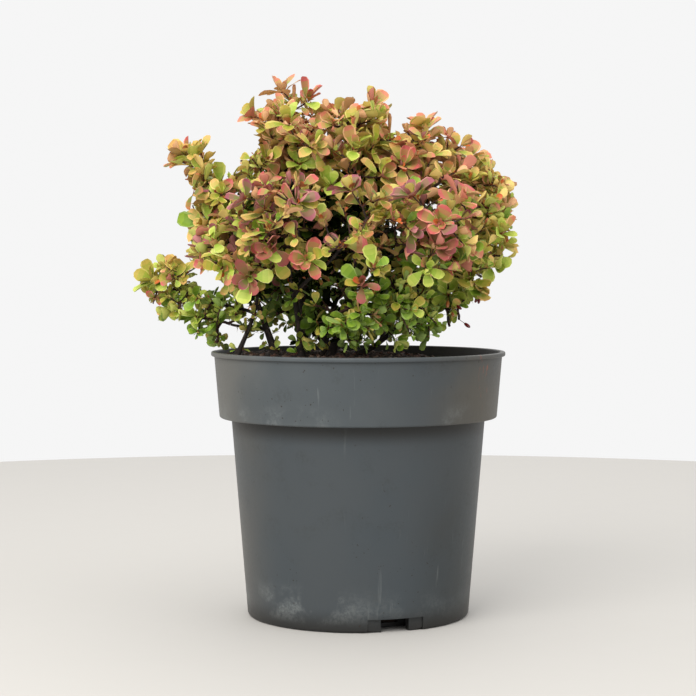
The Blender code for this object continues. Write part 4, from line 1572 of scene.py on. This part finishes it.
def settled(shape):
    """Rebuilds a bmesh with its corners and faces in one order in every run, which a spin does
    not keep to, so that booleans and scattered points come out the same."""
    corners = sorted(shape.verts, key=lambda vert: tuple(vert.co))
    ranks = {vert: rank for rank, vert in enumerate(corners)}
    rings = []
    for face in shape.faces:
        ring = [ranks[vert] for vert in face.verts]
        first = ring.index(min(ring))
        rings.append(ring[first:] + ring[:first])
    made = bmesh.new()
    verts = [made.verts.new(vert.co) for vert in corners]
    for ring in sorted(rings):
        made.faces.new([verts[rank] for rank in ring])
    shape.free()
    return made


def turned(profile, sides):
    """A closed (radius, height) profile turned round Z."""
    shape = bmesh.new()
    points = [shape.verts.new((radius, 0.0, height)) for radius, height in profile]
    edges = [shape.edges.new((a, b)) for a, b in zip(points, points[1:] + points[:1])]
    bmesh.ops.spin(
        shape, geom=points + edges, cent=(0, 0, 0), axis=(0, 0, 1),
        angle=math.tau, steps=sides, use_merge=True,
    )
    bmesh.ops.remove_doubles(shape, verts=shape.verts, dist=1e-6)
    bmesh.ops.dissolve_degenerate(shape, edges=shape.edges, dist=1e-6)
    bmesh.ops.recalc_face_normals(shape, faces=shape.faces)
    return settled(shape)


def body_radius(height):
    """The pot's outer radius below the band."""
    return BASE_RADIUS + (BODY_TOP_RADIUS - BASE_RADIUS) * height / SHOULDER


def pot_profile():
    """Outside from the middle of the underside up to the rim, then down the inside."""
    base = body_radius(BASE_ROUNDING) - BASE_ROUNDING
    outside = [(0.0, 0.0), (base * 0.5, 0.0)]
    outside += arc((base, BASE_ROUNDING), BASE_ROUNDING, -90, 0, 6)
    outside += [(body_radius(height * MM), height * MM) for height in (20, 60, 120, 170)]
    under = SHOULDER - LEDGE_FILLET
    fillet = (body_radius(under) + LEDGE_FILLET, under)
    outside += arc(fillet, LEDGE_FILLET, 180, 90, 4)
    outside += arc((BAND_FOOT_RADIUS - BAND_EDGE, SHOULDER + BAND_EDGE), BAND_EDGE, -90, 0, 5)
    bead = POT_HEIGHT - BEAD_HEIGHT
    outside += [(BAND_TOP_RADIUS, bead)]
    outside += arc((RIM_RADIUS - RIM_ROUNDING, bead + RIM_ROUNDING), RIM_ROUNDING, -80, 0, 4)
    outside += arc((RIM_RADIUS - RIM_ROUNDING, POT_HEIGHT - RIM_ROUNDING), RIM_ROUNDING, 0, 90, 4)
    lip = BAND_TOP_RADIUS - WALL + RIM_ROUNDING
    inside = arc((lip, POT_HEIGHT - RIM_ROUNDING), RIM_ROUNDING, 90, 180, 4)
    inside += [
        (BAND_FOOT_RADIUS - WALL, SHOULDER + LEDGE_DROP),
        (body_radius(SHOULDER) - WALL, SHOULDER + LEDGE_DROP / 2),
        (body_radius(FLOOR) - WALL, FLOOR),
        (0.0, FLOOR),
    ]
    return outside + inside


def soil_profile():
    """The inside of the pot less a sliver, up to the soil's edge."""
    inset = 2 * CLEARANCE
    slope = (BAND_TOP_RADIUS - BAND_FOOT_RADIUS) / (BAND_HEIGHT - LEDGE_DROP)
    edge = BAND_FOOT_RADIUS - WALL - inset + slope * (SOIL_EDGE - SHOULDER - LEDGE_DROP)
    sides = [
        (0.0, FLOOR + CLEARANCE),
        (body_radius(FLOOR) - WALL - inset, FLOOR + CLEARANCE),
        (body_radius(SHOULDER) - WALL - inset, SHOULDER + LEDGE_DROP / 2 + CLEARANCE),
        (BAND_FOOT_RADIUS - WALL - inset, SHOULDER + LEDGE_DROP + inset),
    ]
    return sides + [(edge * (1 - ring / SOIL_RINGS), SOIL_TOP) for ring in range(SOIL_RINGS + 1)]


def pocket_turns():
    """The turn that carries a shape lying along +X to each drainage pocket."""
    for index in range(POCKETS):
        yield index, Matrix.Rotation(POCKET_ANGLE + index * math.tau / POCKETS, 4, "Z")


def box(width, depth, height):
    """A box on the ground, its near face at X = 0, and its width across Y."""
    shape = bmesh.new()
    bmesh.ops.create_cube(shape, size=1.0)
    bmesh.ops.scale(shape, vec=(depth, width, height), verts=shape.verts)
    bmesh.ops.translate(shape, vec=(depth / 2, 0, height / 2), verts=shape.verts)
    return shape


class Carver:
    """Adds Booleans to an object from shapes that are thrown away once it is a plain mesh."""

    def __init__(self, target):
        self.target = target
        self.tools = []

    def tool(self, name, shape, turn=None, out=0.0, up=0.0, across_by=0.0):
        if turn:
            bmesh.ops.translate(shape, vec=(out, across_by, up), verts=shape.verts)
            bmesh.ops.transform(shape, matrix=turn, verts=shape.verts)
        made = add_object(name, mesh_of(name, shape))
        self.tools.append(made)
        return made

    def use(self, target, other, operation):
        modifier = target.modifiers.new(other.name, "BOOLEAN")
        modifier.operation = operation
        modifier.object = other
        modifier.solver = "EXACT"

    def done(self):
        plain_mesh(self.target)
        for tool in self.tools:
            bpy.data.objects.remove(tool, do_unlink=True)


def carve_pot(pot, sides):
    """Cuts the drainage pockets into the pot's foot, with a lug at each side of a pocket."""
    carver = Carver(pot)
    top = 2 * POCKET_HEIGHT
    room = carver.tool("pocket_room", turned([
        (0.0, 0.0),
        (BASE_RADIUS - BASE_ROUNDING - WALL_INSET, 0.0),
        (body_radius(BASE_ROUNDING) - WALL_INSET, BASE_ROUNDING),
        (body_radius(top) - WALL_INSET, top),
        (0.0, top),
    ], sides))
    housing_in = BASE_RADIUS - POCKET_DEPTH - FLOOR
    for index, turn in pocket_turns():
        housing = box(POCKET_WIDTH + 2 * WALL, 2 * POCKET_DEPTH, POCKET_HEIGHT + WALL)
        housing = carver.tool(f"housing_{index}", housing, turn, housing_in, SLIVER)
        carver.use(housing, room, "INTERSECT")
        carver.use(pot, housing, "UNION")
        pocket = box(POCKET_WIDTH, 2 * POCKET_DEPTH, 2 * POCKET_HEIGHT)
        pocket = carver.tool(f"pocket_{index}", pocket, turn, housing_in + FLOOR, -POCKET_HEIGHT)
        carver.use(pot, pocket, "DIFFERENCE")
        drain = box(DRAIN_WIDTH, DRAIN_DEPTH, DRAIN_HEIGHT)
        drain = carver.tool(f"drain_{index}", drain, turn, housing_in - DRAIN_DEPTH / 2, DRAIN_LIFT)
        carver.use(pot, drain, "DIFFERENCE")
        for side in (-1, 1):
            lug = box(LUG_WIDTH, LUG_DEPTH, POCKET_HEIGHT + WALL / 2)
            lug_in = BASE_RADIUS - LUG_SETBACK - LUG_DEPTH
            along = side * (POCKET_WIDTH - LUG_WIDTH + WALL) / 2
            lug = carver.tool(f"lug_{index}_{side + 1}", lug, turn, lug_in, 0.0, along)
            carver.use(lug, room, "INTERSECT")
            carver.use(pot, lug, "UNION")
    carver.done()


def pot_finish(look):
    """Grey plastic with painted shade and a painted brown reflection on its right side, painted
    light and dust at its left edge and the band's right, a painted sheen on the band, a film of
    lime and grit along its lower edges, faint upright scratches, specks of soil, painted shade
    under the ledge, at the foot and on the lip inside, and a rusty smear under the rim."""
    finish = Finish("pot_plastic", look.colour, 0.45)
    over = finish.over
    x, y, z = (finish.part(finish.place, axis) for axis in "XYZ")
    above_ledge = z - SHOULDER
    below_rim = POT_HEIGHT - z
    away = finish.add(
        "ShaderNodeVectorMath", {"operation": "LENGTH"}, {"Vector": finish.stretched(1, 1, 0)},
    )
    inward = BAND_TOP_RADIUS - away
    wear = look.wear
    cloud = finish.noise(finish.place, 9.0, detail=4.0)
    patch = finish.noise(finish.place, 34.0, detail=5.0, roughness=0.6)
    grit = finish.noise(finish.place, 330.0, detail=6.0, roughness=0.7)
    streak = finish.noise(finish.stretched(1, 1, 0.04), 210.0, detail=3.0)
    speck = finish.noise(finish.place, 380.0, detail=1.0)
    smear = finish.noise(finish.stretched(1, 1, 0.3), 240.0, detail=2.0)
    band = over(above_ledge, -0.1, 0.1)
    body = 1.0 - band

    # Painted shade and a painted brown reflection on the body's right, darkest low down; painted light
    # and dust at the left edge and the band's right; a painted sheen on the band towards the left; cool
    # patches
    browned = over(x, 30, 110) * body * (over(z, 160, 30) * 0.75 + 0.15)
    dust_and_painted_light = over(x, -70, -140) * 0.9 + over(x, 45, 115) * band * 0.9
    painted_band_sheen = band * over(x, 80, -60) * 0.15
    colour = finish.blend(browned, look.colour, look.shade_and_dust_colour)
    colour = finish.blend(dust_and_painted_light, colour, look.dust_and_light_colour)
    colour = finish.blend(painted_band_sheen, colour, look.lime_and_sheen_colour)
    colour = finish.blend(finish.step(cloud, 0.42, 0.66) * 0.5, colour, look.cool_colour)

    # Lime along the foot and the band's hem, scratches, and dust in the patches
    foot = over(z, 48, 16) * over(z, 3, 12) * finish.step(patch, 0.42, 0.62)
    foot = foot * (over(x, 30, -50) * 0.75 + 0.25)
    hem = over(above_ledge, 24, 4) * over(above_ledge, -1, 0) * finish.step(patch, 0.44, 0.68)
    hem = hem * (over(x, 0, -60) + over(x, 50, 100))
    film = (foot + hem * 0.8) * (finish.step(grit, 0.34, 0.66) * 0.7 + 0.15)
    scratches = finish.step(streak, 0.64, 0.76) * finish.step(cloud, 0.46, 0.66) * 0.3
    lime = finish.math("ADD", film * 0.85, scratches, clamp=True) * wear
    colour = finish.blend(lime, colour, look.lime_and_sheen_colour)
    dust = finish.step(patch, 0.52, 0.72) * finish.step(grit, 0.4, 0.6) * 0.3 * wear
    colour = finish.blend(dust, colour, look.shade_and_dust_colour)

    # Painted shade under the ledge and at the foot, and specks of soil
    painted_ledge_shade = over(above_ledge, -20, -3) * body * 0.75
    painted_foot_shade = over(z, 24, 2) * 0.85
    colour = finish.blend(finish.math("ADD", painted_ledge_shade, painted_foot_shade, clamp=True), colour, paint(34, 32, 29))
    soiled = finish.step(speck, 0.74, 0.76) * finish.step(cloud, 0.46, 0.56) * 0.85
    colour = finish.blend(soiled, colour, paint(46, 38, 32))

    # The rusty smear under the rim at the right, and painted shade on the lip inside
    under_rim = over(x, 108, 116) * over(below_rim, 56, 40) * over(y, -62, -70)
    rust = under_rim * finish.step(smear, 0.60, 0.70) * wear
    colour = finish.blend(rust, colour, paint(150, 78, 54))
    inside = over(inward, 1.2, 1.7) * over(below_rim, 17, 15) * 0.85
    colour = finish.blend(inside, colour, paint(36, 33, 30))

    finish.set("Base Color", colour)
    finish.set("Roughness", lime * 0.3 + grit * 0.2 + 0.33)
    finish.set("Specular IOR Level", 0.3)
    finish.bump(grit * 0.5 + streak * 0.5 + lime, 0.15 * MM, 0.6)
    return finish.material


def soil_finish(look):
    finish = Finish("potting_soil", look.colour, 0.95)
    crumb = finish.noise(finish.place, 260.0, detail=8.0, roughness=0.7)
    patch = finish.noise(finish.place, 40.0, detail=3.0)
    colour = finish.blend(finish.step(crumb, 0.35, 0.7), paint(26, 20, 16), look.colour)
    colour = finish.blend(finish.step(patch, 0.5, 0.75) * 0.4, colour, look.chip_colour)
    finish.set("Base Color", colour)
    finish.bump(crumb, 1.6 * MM)
    return finish.material


def chip_finish(name, colour):
    finish = Finish(name, colour, 0.85)
    grain = finish.noise(finish.place, 700.0, detail=4.0)
    finish.gloss(grain, 0.2)
    finish.bump(grain, 0.3 * MM)
    return finish.material


def bark_finish(name, colour, roughness=0.85):
    finish = Finish(name, colour, roughness)
    grain = finish.noise(finish.stretched(1, 1, 0.4), 1400.0, detail=5.0)
    finish.set("Roughness", grain * 0.25 + (roughness - 0.12))
    finish.bump(grain, 0.35 * MM)
    return finish.material


def berry_finish(name, colour):
    finish = Finish(name, colour, 0.3)
    bloom = finish.noise(finish.place, 500.0, detail=3.0)
    finish.gloss(bloom, 0.2)
    finish.bump(bloom, 0.1 * MM, 0.4)
    finish.set("Coat Weight", 0.3)
    return finish.material


def floor_finish(look):
    finish = Finish("floor", look.floor_colour, 0.75)
    finish.gloss(finish.noise(finish.place, 30.0, detail=5.0), 0.1)
    return finish.material


class BARBERRY_OT_stage(bpy.types.Operator):
    """Sets up the camera, the pale floor and the soft studio light"""

    bl_idname = "barberry.stage"
    bl_label = "Stage"

    def execute(self, context):
        look = context.scene.barberry_stage
        camera = bpy.data.objects.new("camera", bpy.data.cameras.new("camera"))
        camera.data.lens = look.lens
        camera.location = look.camera_place
        camera.rotation_euler = (look.camera_pitch, 0.0, 0.0)
        context.scene.collection.objects.link(camera)
        context.scene.camera = camera
        shape = bmesh.new()
        bmesh.ops.create_circle(shape, cap_ends=True, segments=96, radius=FLOOR_RADIUS)
        add_object("floor", mesh_of("floor", shape), floor_finish(look))
        for name, light in LIGHTS.items():
            self.add_light(name, look.key if name == "key" else look.fill, *light)
        world = bpy.data.worlds.new("studio")
        world.use_nodes = True
        room = Graph(world.node_tree)
        room.tree.nodes.clear()
        up = room.part(room.add("ShaderNodeTexCoord", output="Generated"), "Z")
        lit = room.step(up, -0.1, 1.0) * (look.sky - look.horizon) + look.horizon
        seen = room.add("ShaderNodeLightPath", output="Is Camera Ray")
        light = room.add("ShaderNodeBackground", {}, {
            "Color": (1.0, 1.0, 1.0, 1.0),
            "Strength": lit + seen * (look.wall - lit),
        })
        room.add("ShaderNodeOutputWorld", {}, {"Surface": light})
        context.scene.world = world
        context.scene.view_settings.view_transform = "Standard"
        return {"FINISHED"}

    @staticmethod
    def add_light(name, power, place, size, colour):
        lamp = bpy.data.lights.new(name, "AREA")
        lamp.size = size
        lamp.energy = power
        lamp.color = colour
        light = bpy.data.objects.new(name, lamp)
        light.location = place
        light.rotation_euler = (CROWN_HEART - Vector(place)).to_track_quat("-Z", "Y").to_euler()
        bpy.context.scene.collection.objects.link(light)


class BARBERRY_OT_pot(bpy.types.Operator):
    """Turns the pot and cuts its drainage pockets"""

    bl_idname = "barberry.pot"
    bl_label = "Pot"

    def execute(self, context):
        look = context.scene.barberry_pot
        pot = add_object("nursery_pot", mesh_of("nursery_pot", turned(pot_profile(), look.sides)))
        carve_pot(pot, look.sides)
        pot.data.materials.append(pot_finish(look))
        pot.data.shade_smooth()
        pot.data.set_sharp_from_angle(angle=POT_CREASE)
        seat(pot, "pot_plastic", "pot")
        return {"FINISHED"}


class BARBERRY_OT_soil(bpy.types.Operator):
    """Fills the pot with lumpy soil and strews bark chips over it"""

    bl_idname = "barberry.soil"
    bl_label = "Soil"

    def execute(self, context):
        look = context.scene.barberry_soil
        shape = turned(soil_profile(), SOIL_SIDES)
        for vert in shape.verts:
            if vert.co.z > SOIL_TOP - CLEARANCE:
                edge = min(1.0, (BAND_TOP_RADIUS - vert.co.xy.length) / SOIL_CALM)
                lumps = noise.fractal(vert.co * SOIL_LUMPS, 0.7, 2.0, 5) * SOIL_LUMP
                height = soil_height(vert.co.x, vert.co.y)
                vert.co.z = height + lumps * max(SOIL_CALMEST, edge) + SOIL_MOUND
        soil = add_object("soil_bed", mesh_of("soil_bed", shape), soil_finish(look))
        self.carve(soil)
        soil.data.shade_smooth()
        soil.data.set_sharp_from_angle(angle=SOIL_CREASE)
        seat(soil, "potting_soil", "potting_soil")
        self.strew(soil, look)
        return {"FINISHED"}

    @staticmethod
    def carve(soil):
        """Keeps the soil out of the pot's drainage pockets."""
        carver = Carver(soil)
        side = POCKET_WIDTH + 2 * (WALL + CLEARANCE)
        height = POCKET_HEIGHT + WALL + CLEARANCE + SLIVER
        out = BASE_RADIUS - POCKET_DEPTH - FLOOR - CLEARANCE
        for index, turn in pocket_turns():
            hollow = box(side, 2 * POCKET_DEPTH, 2 * height)
            hollow = carver.tool(f"hollow_{index}", hollow, turn, out, -height)
            carver.use(soil, hollow, "DIFFERENCE")
        carver.done()

    @staticmethod
    def strew(soil, look):
        shapes = ShapeBox("chip_shapes")
        for index, form in enumerate(CHIP_FORMS):
            lump = bmesh.new()
            bmesh.ops.create_icosphere(lump, subdivisions=1, radius=0.5)
            for vert in lump.verts:
                place = vert.co * CHIP_SWELLS + Vector((index * CHIP_PLACE, 0, 0))
                vert.co = vert.co * Vector(form) * (1 + CHIP_SWELL * noise.noise(place))
            shapes.add(f"chip_{index}", mesh_of(f"chip_{index}", lump))
        finishes = [
            chip_finish("chip_dark", paint(52, 38, 30)),
            chip_finish("chip_brown", look.chip_colour),
            chip_finish("chip_rust", paint(84, 56, 44)),
            chip_finish("chip_pale", paint(98, 80, 67)),
        ]
        chips = add_object("bark_chips", soil.data.copy())
        chip_maker(finishes).make(chips, {
            "Shapes": shapes.collection,
            "Density": look.density,
            "Chip": look.chip,
            "Lowest": CHIP_LOWEST,
            "Seed": 5,
        })
        shapes.empty()
        seat(chips, "potting_soil")


def chip_maker(finishes):
    """Strews turned and sized chips over the upper faces of the soil."""
    maker = Maker("bark_chips", {
        "Shapes": "collection",
        "Density": "number",
        "Chip": "length",
        "Lowest": "length",
        "Seed": "count",
    })
    seed = maker.given("Seed")
    up = maker.part(maker.add("GeometryNodeInputNormal"), "Z")
    high = maker.part(maker.add("GeometryNodeInputPosition"), "Z")
    high = maker.math("GREATER_THAN", high, maker.given("Lowest"))
    points = maker.add("GeometryNodeDistributePointsOnFaces", {}, {
        "Mesh": maker.given("Geometry"),
        "Selection": high * maker.math("GREATER_THAN", up, CHIP_SLOPE),
        "Density": maker.given("Density"),
        "Seed": seed,
    })
    pick = maker.random("INT", 0, len(CHIP_FORMS) - 1, seed + 2.0)
    turn = maker.random(
        "FLOAT_VECTOR", (-CHIP_TILT, -CHIP_TILT, -math.pi), (CHIP_TILT, CHIP_TILT, math.pi), seed,
    )
    share = maker.math("POWER", maker.random("FLOAT", 0.0, 1.0, seed + 1.0), CHIP_POWER)
    size = maker.given("Chip") * (share * (CHIP_SIZES[1] - CHIP_SIZES[0]) + CHIP_SIZES[0])
    chips = maker.copies(points, pick, turn, maker.vectors("SCALE", (1.0, 1.0, 1.0), size))
    tint = maker.random("INT", 0, len(finishes) - 1, seed + 3.0)
    chips = maker.realized(maker.store(chips, "tint", tint, "INT", "INSTANCE"))
    maker.end(maker.dyed(chips, maker.attribute("tint", "INT"), finishes))
    return maker


class BARBERRY_OT_limbs(bpy.types.Operator):
    """Covers the stems and boughs in furrowed bark"""

    bl_idname = "barberry.limbs"
    bl_label = "Stems and boughs"

    def execute(self, context):
        look = context.scene.barberry_bark
        maker = tube_maker()
        bark = bark_finish("bark_furrow", look.colour)
        ridges = bark_finish("bark_ridge", look.ridge_colour)
        for stem, limbs in shrub().limbs.items():
            piece = add_object(f"{stem}_bark", path_mesh(stem, limbs.values(), foot=FOOT_SUNK))
            maker.make(piece, {
                "Sides": LIMB_SIDES,
                "Ring spacing": LIMB_RING,
                "Relief": look.relief,
                "Bark": bark,
                "Ridges": ridges,
            })
            seat(piece, "bark", *limbs)
        return {"FINISHED"}


class BARBERRY_OT_twigs(bpy.types.Operator):
    """Grows the twigs of every mass on from its limb"""

    bl_idname = "barberry.twigs"
    bl_label = "Twigs"

    def execute(self, context):
        look = context.scene.barberry_bark
        maker = tube_maker()
        bark = bark_finish("twig_bark", look.twig_colour, 0.7)
        old = bark_finish("twig_bark_old", look.colour, 0.8)
        for stem in STEMS:
            twigs = [twig for growth in shrub().masses_of(stem).values() for twig in growth.twigs]
            piece = add_object(f"{stem}_twigs", path_mesh(f"{stem}_twigs", twigs, TWIG_WANDER))
            maker.make(piece, {
                "Sides": TWIG_SIDES,
                "Ring spacing": TWIG_RING,
                "Relief": look.relief * TWIG_RELIEF,
                "Bark": bark,
                "Ridges": old,
            })
            seat(piece, "bark")
        return {"FINISHED"}


class BARBERRY_OT_thorns(bpy.types.Operator):
    """Sets a thin thorn under many of the rosettes"""

    bl_idname = "barberry.thorns"
    bl_label = "Thorns"

    def execute(self, context):
        look = context.scene.barberry_bark
        shapes = ShapeBox("thorn_shapes")
        spike = bmesh.new()
        bmesh.ops.create_cone(
            spike, cap_ends=True, segments=5, radius1=THORN_FOOT, radius2=THORN_TIP, depth=1.0,
        )
        bmesh.ops.rotate(spike, matrix=Matrix.Rotation(math.pi / 2, 3, "Y"), verts=spike.verts)
        bmesh.ops.translate(spike, vec=(0.5, 0, 0), verts=spike.verts)
        shapes.add("thorn", mesh_of("thorn", spike))
        placed = []
        for growth in shrub().growths.values():
            for root, ahead, size in growth.thorns:
                placed.append(even_row(root, ahead, size * look.thorn, 0))
        finish = bark_finish("thorn", paint(88, 50, 34), 0.6)
        piece = shapes.scatter("thorns", placed, scatter_maker("thorns", [finish], 1))
        shapes.empty()
        seat(piece, "bark")
        return {"FINISHED"}


class BARBERRY_OT_leaves(bpy.types.Operator):
    """Sets the rosettes of leaves along the twigs, each in its own colours"""

    bl_idname = "barberry.leaves"
    bl_label = "Leaves"

    def execute(self, context):
        look = context.scene.barberry_leaves
        shapes = ShapeBox("leaf_shapes")
        for name, form in LEAF_FORMS.items():
            shapes.add(name, leaf_mesh(name, **form))
        maker = scatter_maker("leaves", leaf_finishes(look), ZONES)
        for order, stem in enumerate(STEMS):
            growths = shrub().masses_of(stem)
            placed = []
            for growth in growths.values():
                for leaf in growth.leaves:
                    size = (leaf.length, leaf.length * leaf.width, leaf.length)
                    placed.append((leaf.root, leaf.ahead, leaf.above, size, leaf.family))
            piece = shapes.scatter(f"{stem}_foliage", placed, maker, order)
            piece.data.calc_loop_triangles()
            if len(piece.data.loop_triangles) > BIG_PIECE:
                raise RuntimeError(f"{piece.name} has {len(piece.data.loop_triangles)} triangles")
            seat(piece, "foliage", *growths)
        shapes.empty()
        return {"FINISHED"}


class BARBERRY_OT_berries(bpy.types.Operator):
    """Hangs the few ripe and unripe berries under the outer twigs"""

    bl_idname = "barberry.berries"
    bl_label = "Berries"

    def execute(self, context):
        look = context.scene.barberry_berries
        shapes = ShapeBox("berry_shapes")
        shapes.add("berry", self.berry_mesh())
        placed = []
        for growth in shrub().growths.values():
            for root, ahead, size, tint in growth.berries:
                placed.append(even_row(root, ahead, size * look.length, tint))
        stalk = leaf_finish("berry_stalk", paint(120, 70, 50), 0.5)
        finishes = [
            berry_finish("berry_ripe", look.colour), stalk,
            berry_finish("berry_unripe", look.unripe_colour), stalk,
        ]
        piece = shapes.scatter("berries", placed, scatter_maker("berries", finishes, 2))
        shapes.empty()
        seat(piece, "foliage")
        return {"FINISHED"}

    @staticmethod
    def berry_mesh():
        """A long berry one unit long on a stalk of the same length, hanging along +X."""
        stalk = [(0.0, 0.0), (0.035, 0.0), (0.03, 0.9), (0.05, 1.0)]
        skin = []
        for step in range(1, BERRY_ROUNDS):
            angle = math.pi * step / BERRY_ROUNDS
            half_width = BERRY_HALF_WIDTH * math.sin(angle) ** BERRY_BLUNTNESS
            skin.append((half_width, 1.5 - 0.5 * math.cos(angle)))
        shape = turned(stalk + skin + [(0.03, 2.0), (0.0, 1.98)], BERRY_SIDES)
        bmesh.ops.rotate(shape, matrix=Matrix.Rotation(math.pi / 2, 3, "Y"), verts=shape.verts)
        zone = shape.faces.layers.int.new("zone")
        for face in shape.faces:
            face[zone] = int(face.calc_center_median().x < 1.0)
            face.smooth = True
        return mesh_of("berry", shape)


class BARBERRY_PT_panel(bpy.types.Panel):
    """Lists the sizes, the colours and the pieces"""

    bl_idname = "BARBERRY_PT_panel"
    bl_label = "Potted Barberry"
    bl_space_type = "VIEW_3D"
    bl_region_type = "UI"
    bl_category = "Barberry"

    def draw(self, context):
        for operator, name in PANEL_ROWS:
            box_row = self.layout.box()
            if name:
                look = getattr(context.scene, name)
                for key in look.__annotations__:
                    box_row.prop(look, key)
            box_row.operator(operator)


LOOKS = {
    "barberry_stage": StageLook,
    "barberry_pot": PotLook,
    "barberry_soil": SoilLook,
    "barberry_bark": BarkLook,
    "barberry_leaves": LeafLook,
    "barberry_berries": BerryLook,
}
OPERATORS = (
    BARBERRY_OT_stage,
    BARBERRY_OT_pot,
    BARBERRY_OT_soil,
    BARBERRY_OT_limbs,
    BARBERRY_OT_twigs,
    BARBERRY_OT_thorns,
    BARBERRY_OT_leaves,
    BARBERRY_OT_berries,
)
PANEL_ROWS = (
    ("barberry.stage", "barberry_stage"),
    ("barberry.pot", "barberry_pot"),
    ("barberry.soil", "barberry_soil"),
    ("barberry.limbs", "barberry_bark"),
    ("barberry.twigs", None),
    ("barberry.thorns", None),
    ("barberry.leaves", "barberry_leaves"),
    ("barberry.berries", "barberry_berries"),
)


def register():
    for kind in (*LOOKS.values(), *OPERATORS, BARBERRY_PT_panel):
        bpy.utils.register_class(kind)
    for name, kind in LOOKS.items():
        setattr(bpy.types.Scene, name, PointerProperty(type=kind))


def unregister():
    for name in LOOKS:
        delattr(bpy.types.Scene, name)
    for kind in (BARBERRY_PT_panel, *reversed(OPERATORS), *reversed(LOOKS.values())):
        bpy.utils.unregister_class(kind)


def main():
    register()
    bpy.ops.barberry.stage()
    bpy.ops.barberry.pot()
    bpy.ops.barberry.soil()
    bpy.ops.barberry.limbs()
    bpy.ops.barberry.twigs()
    bpy.ops.barberry.thorns()
    bpy.ops.barberry.leaves()
    bpy.ops.barberry.berries()


if __name__ == "__main__":
    main()
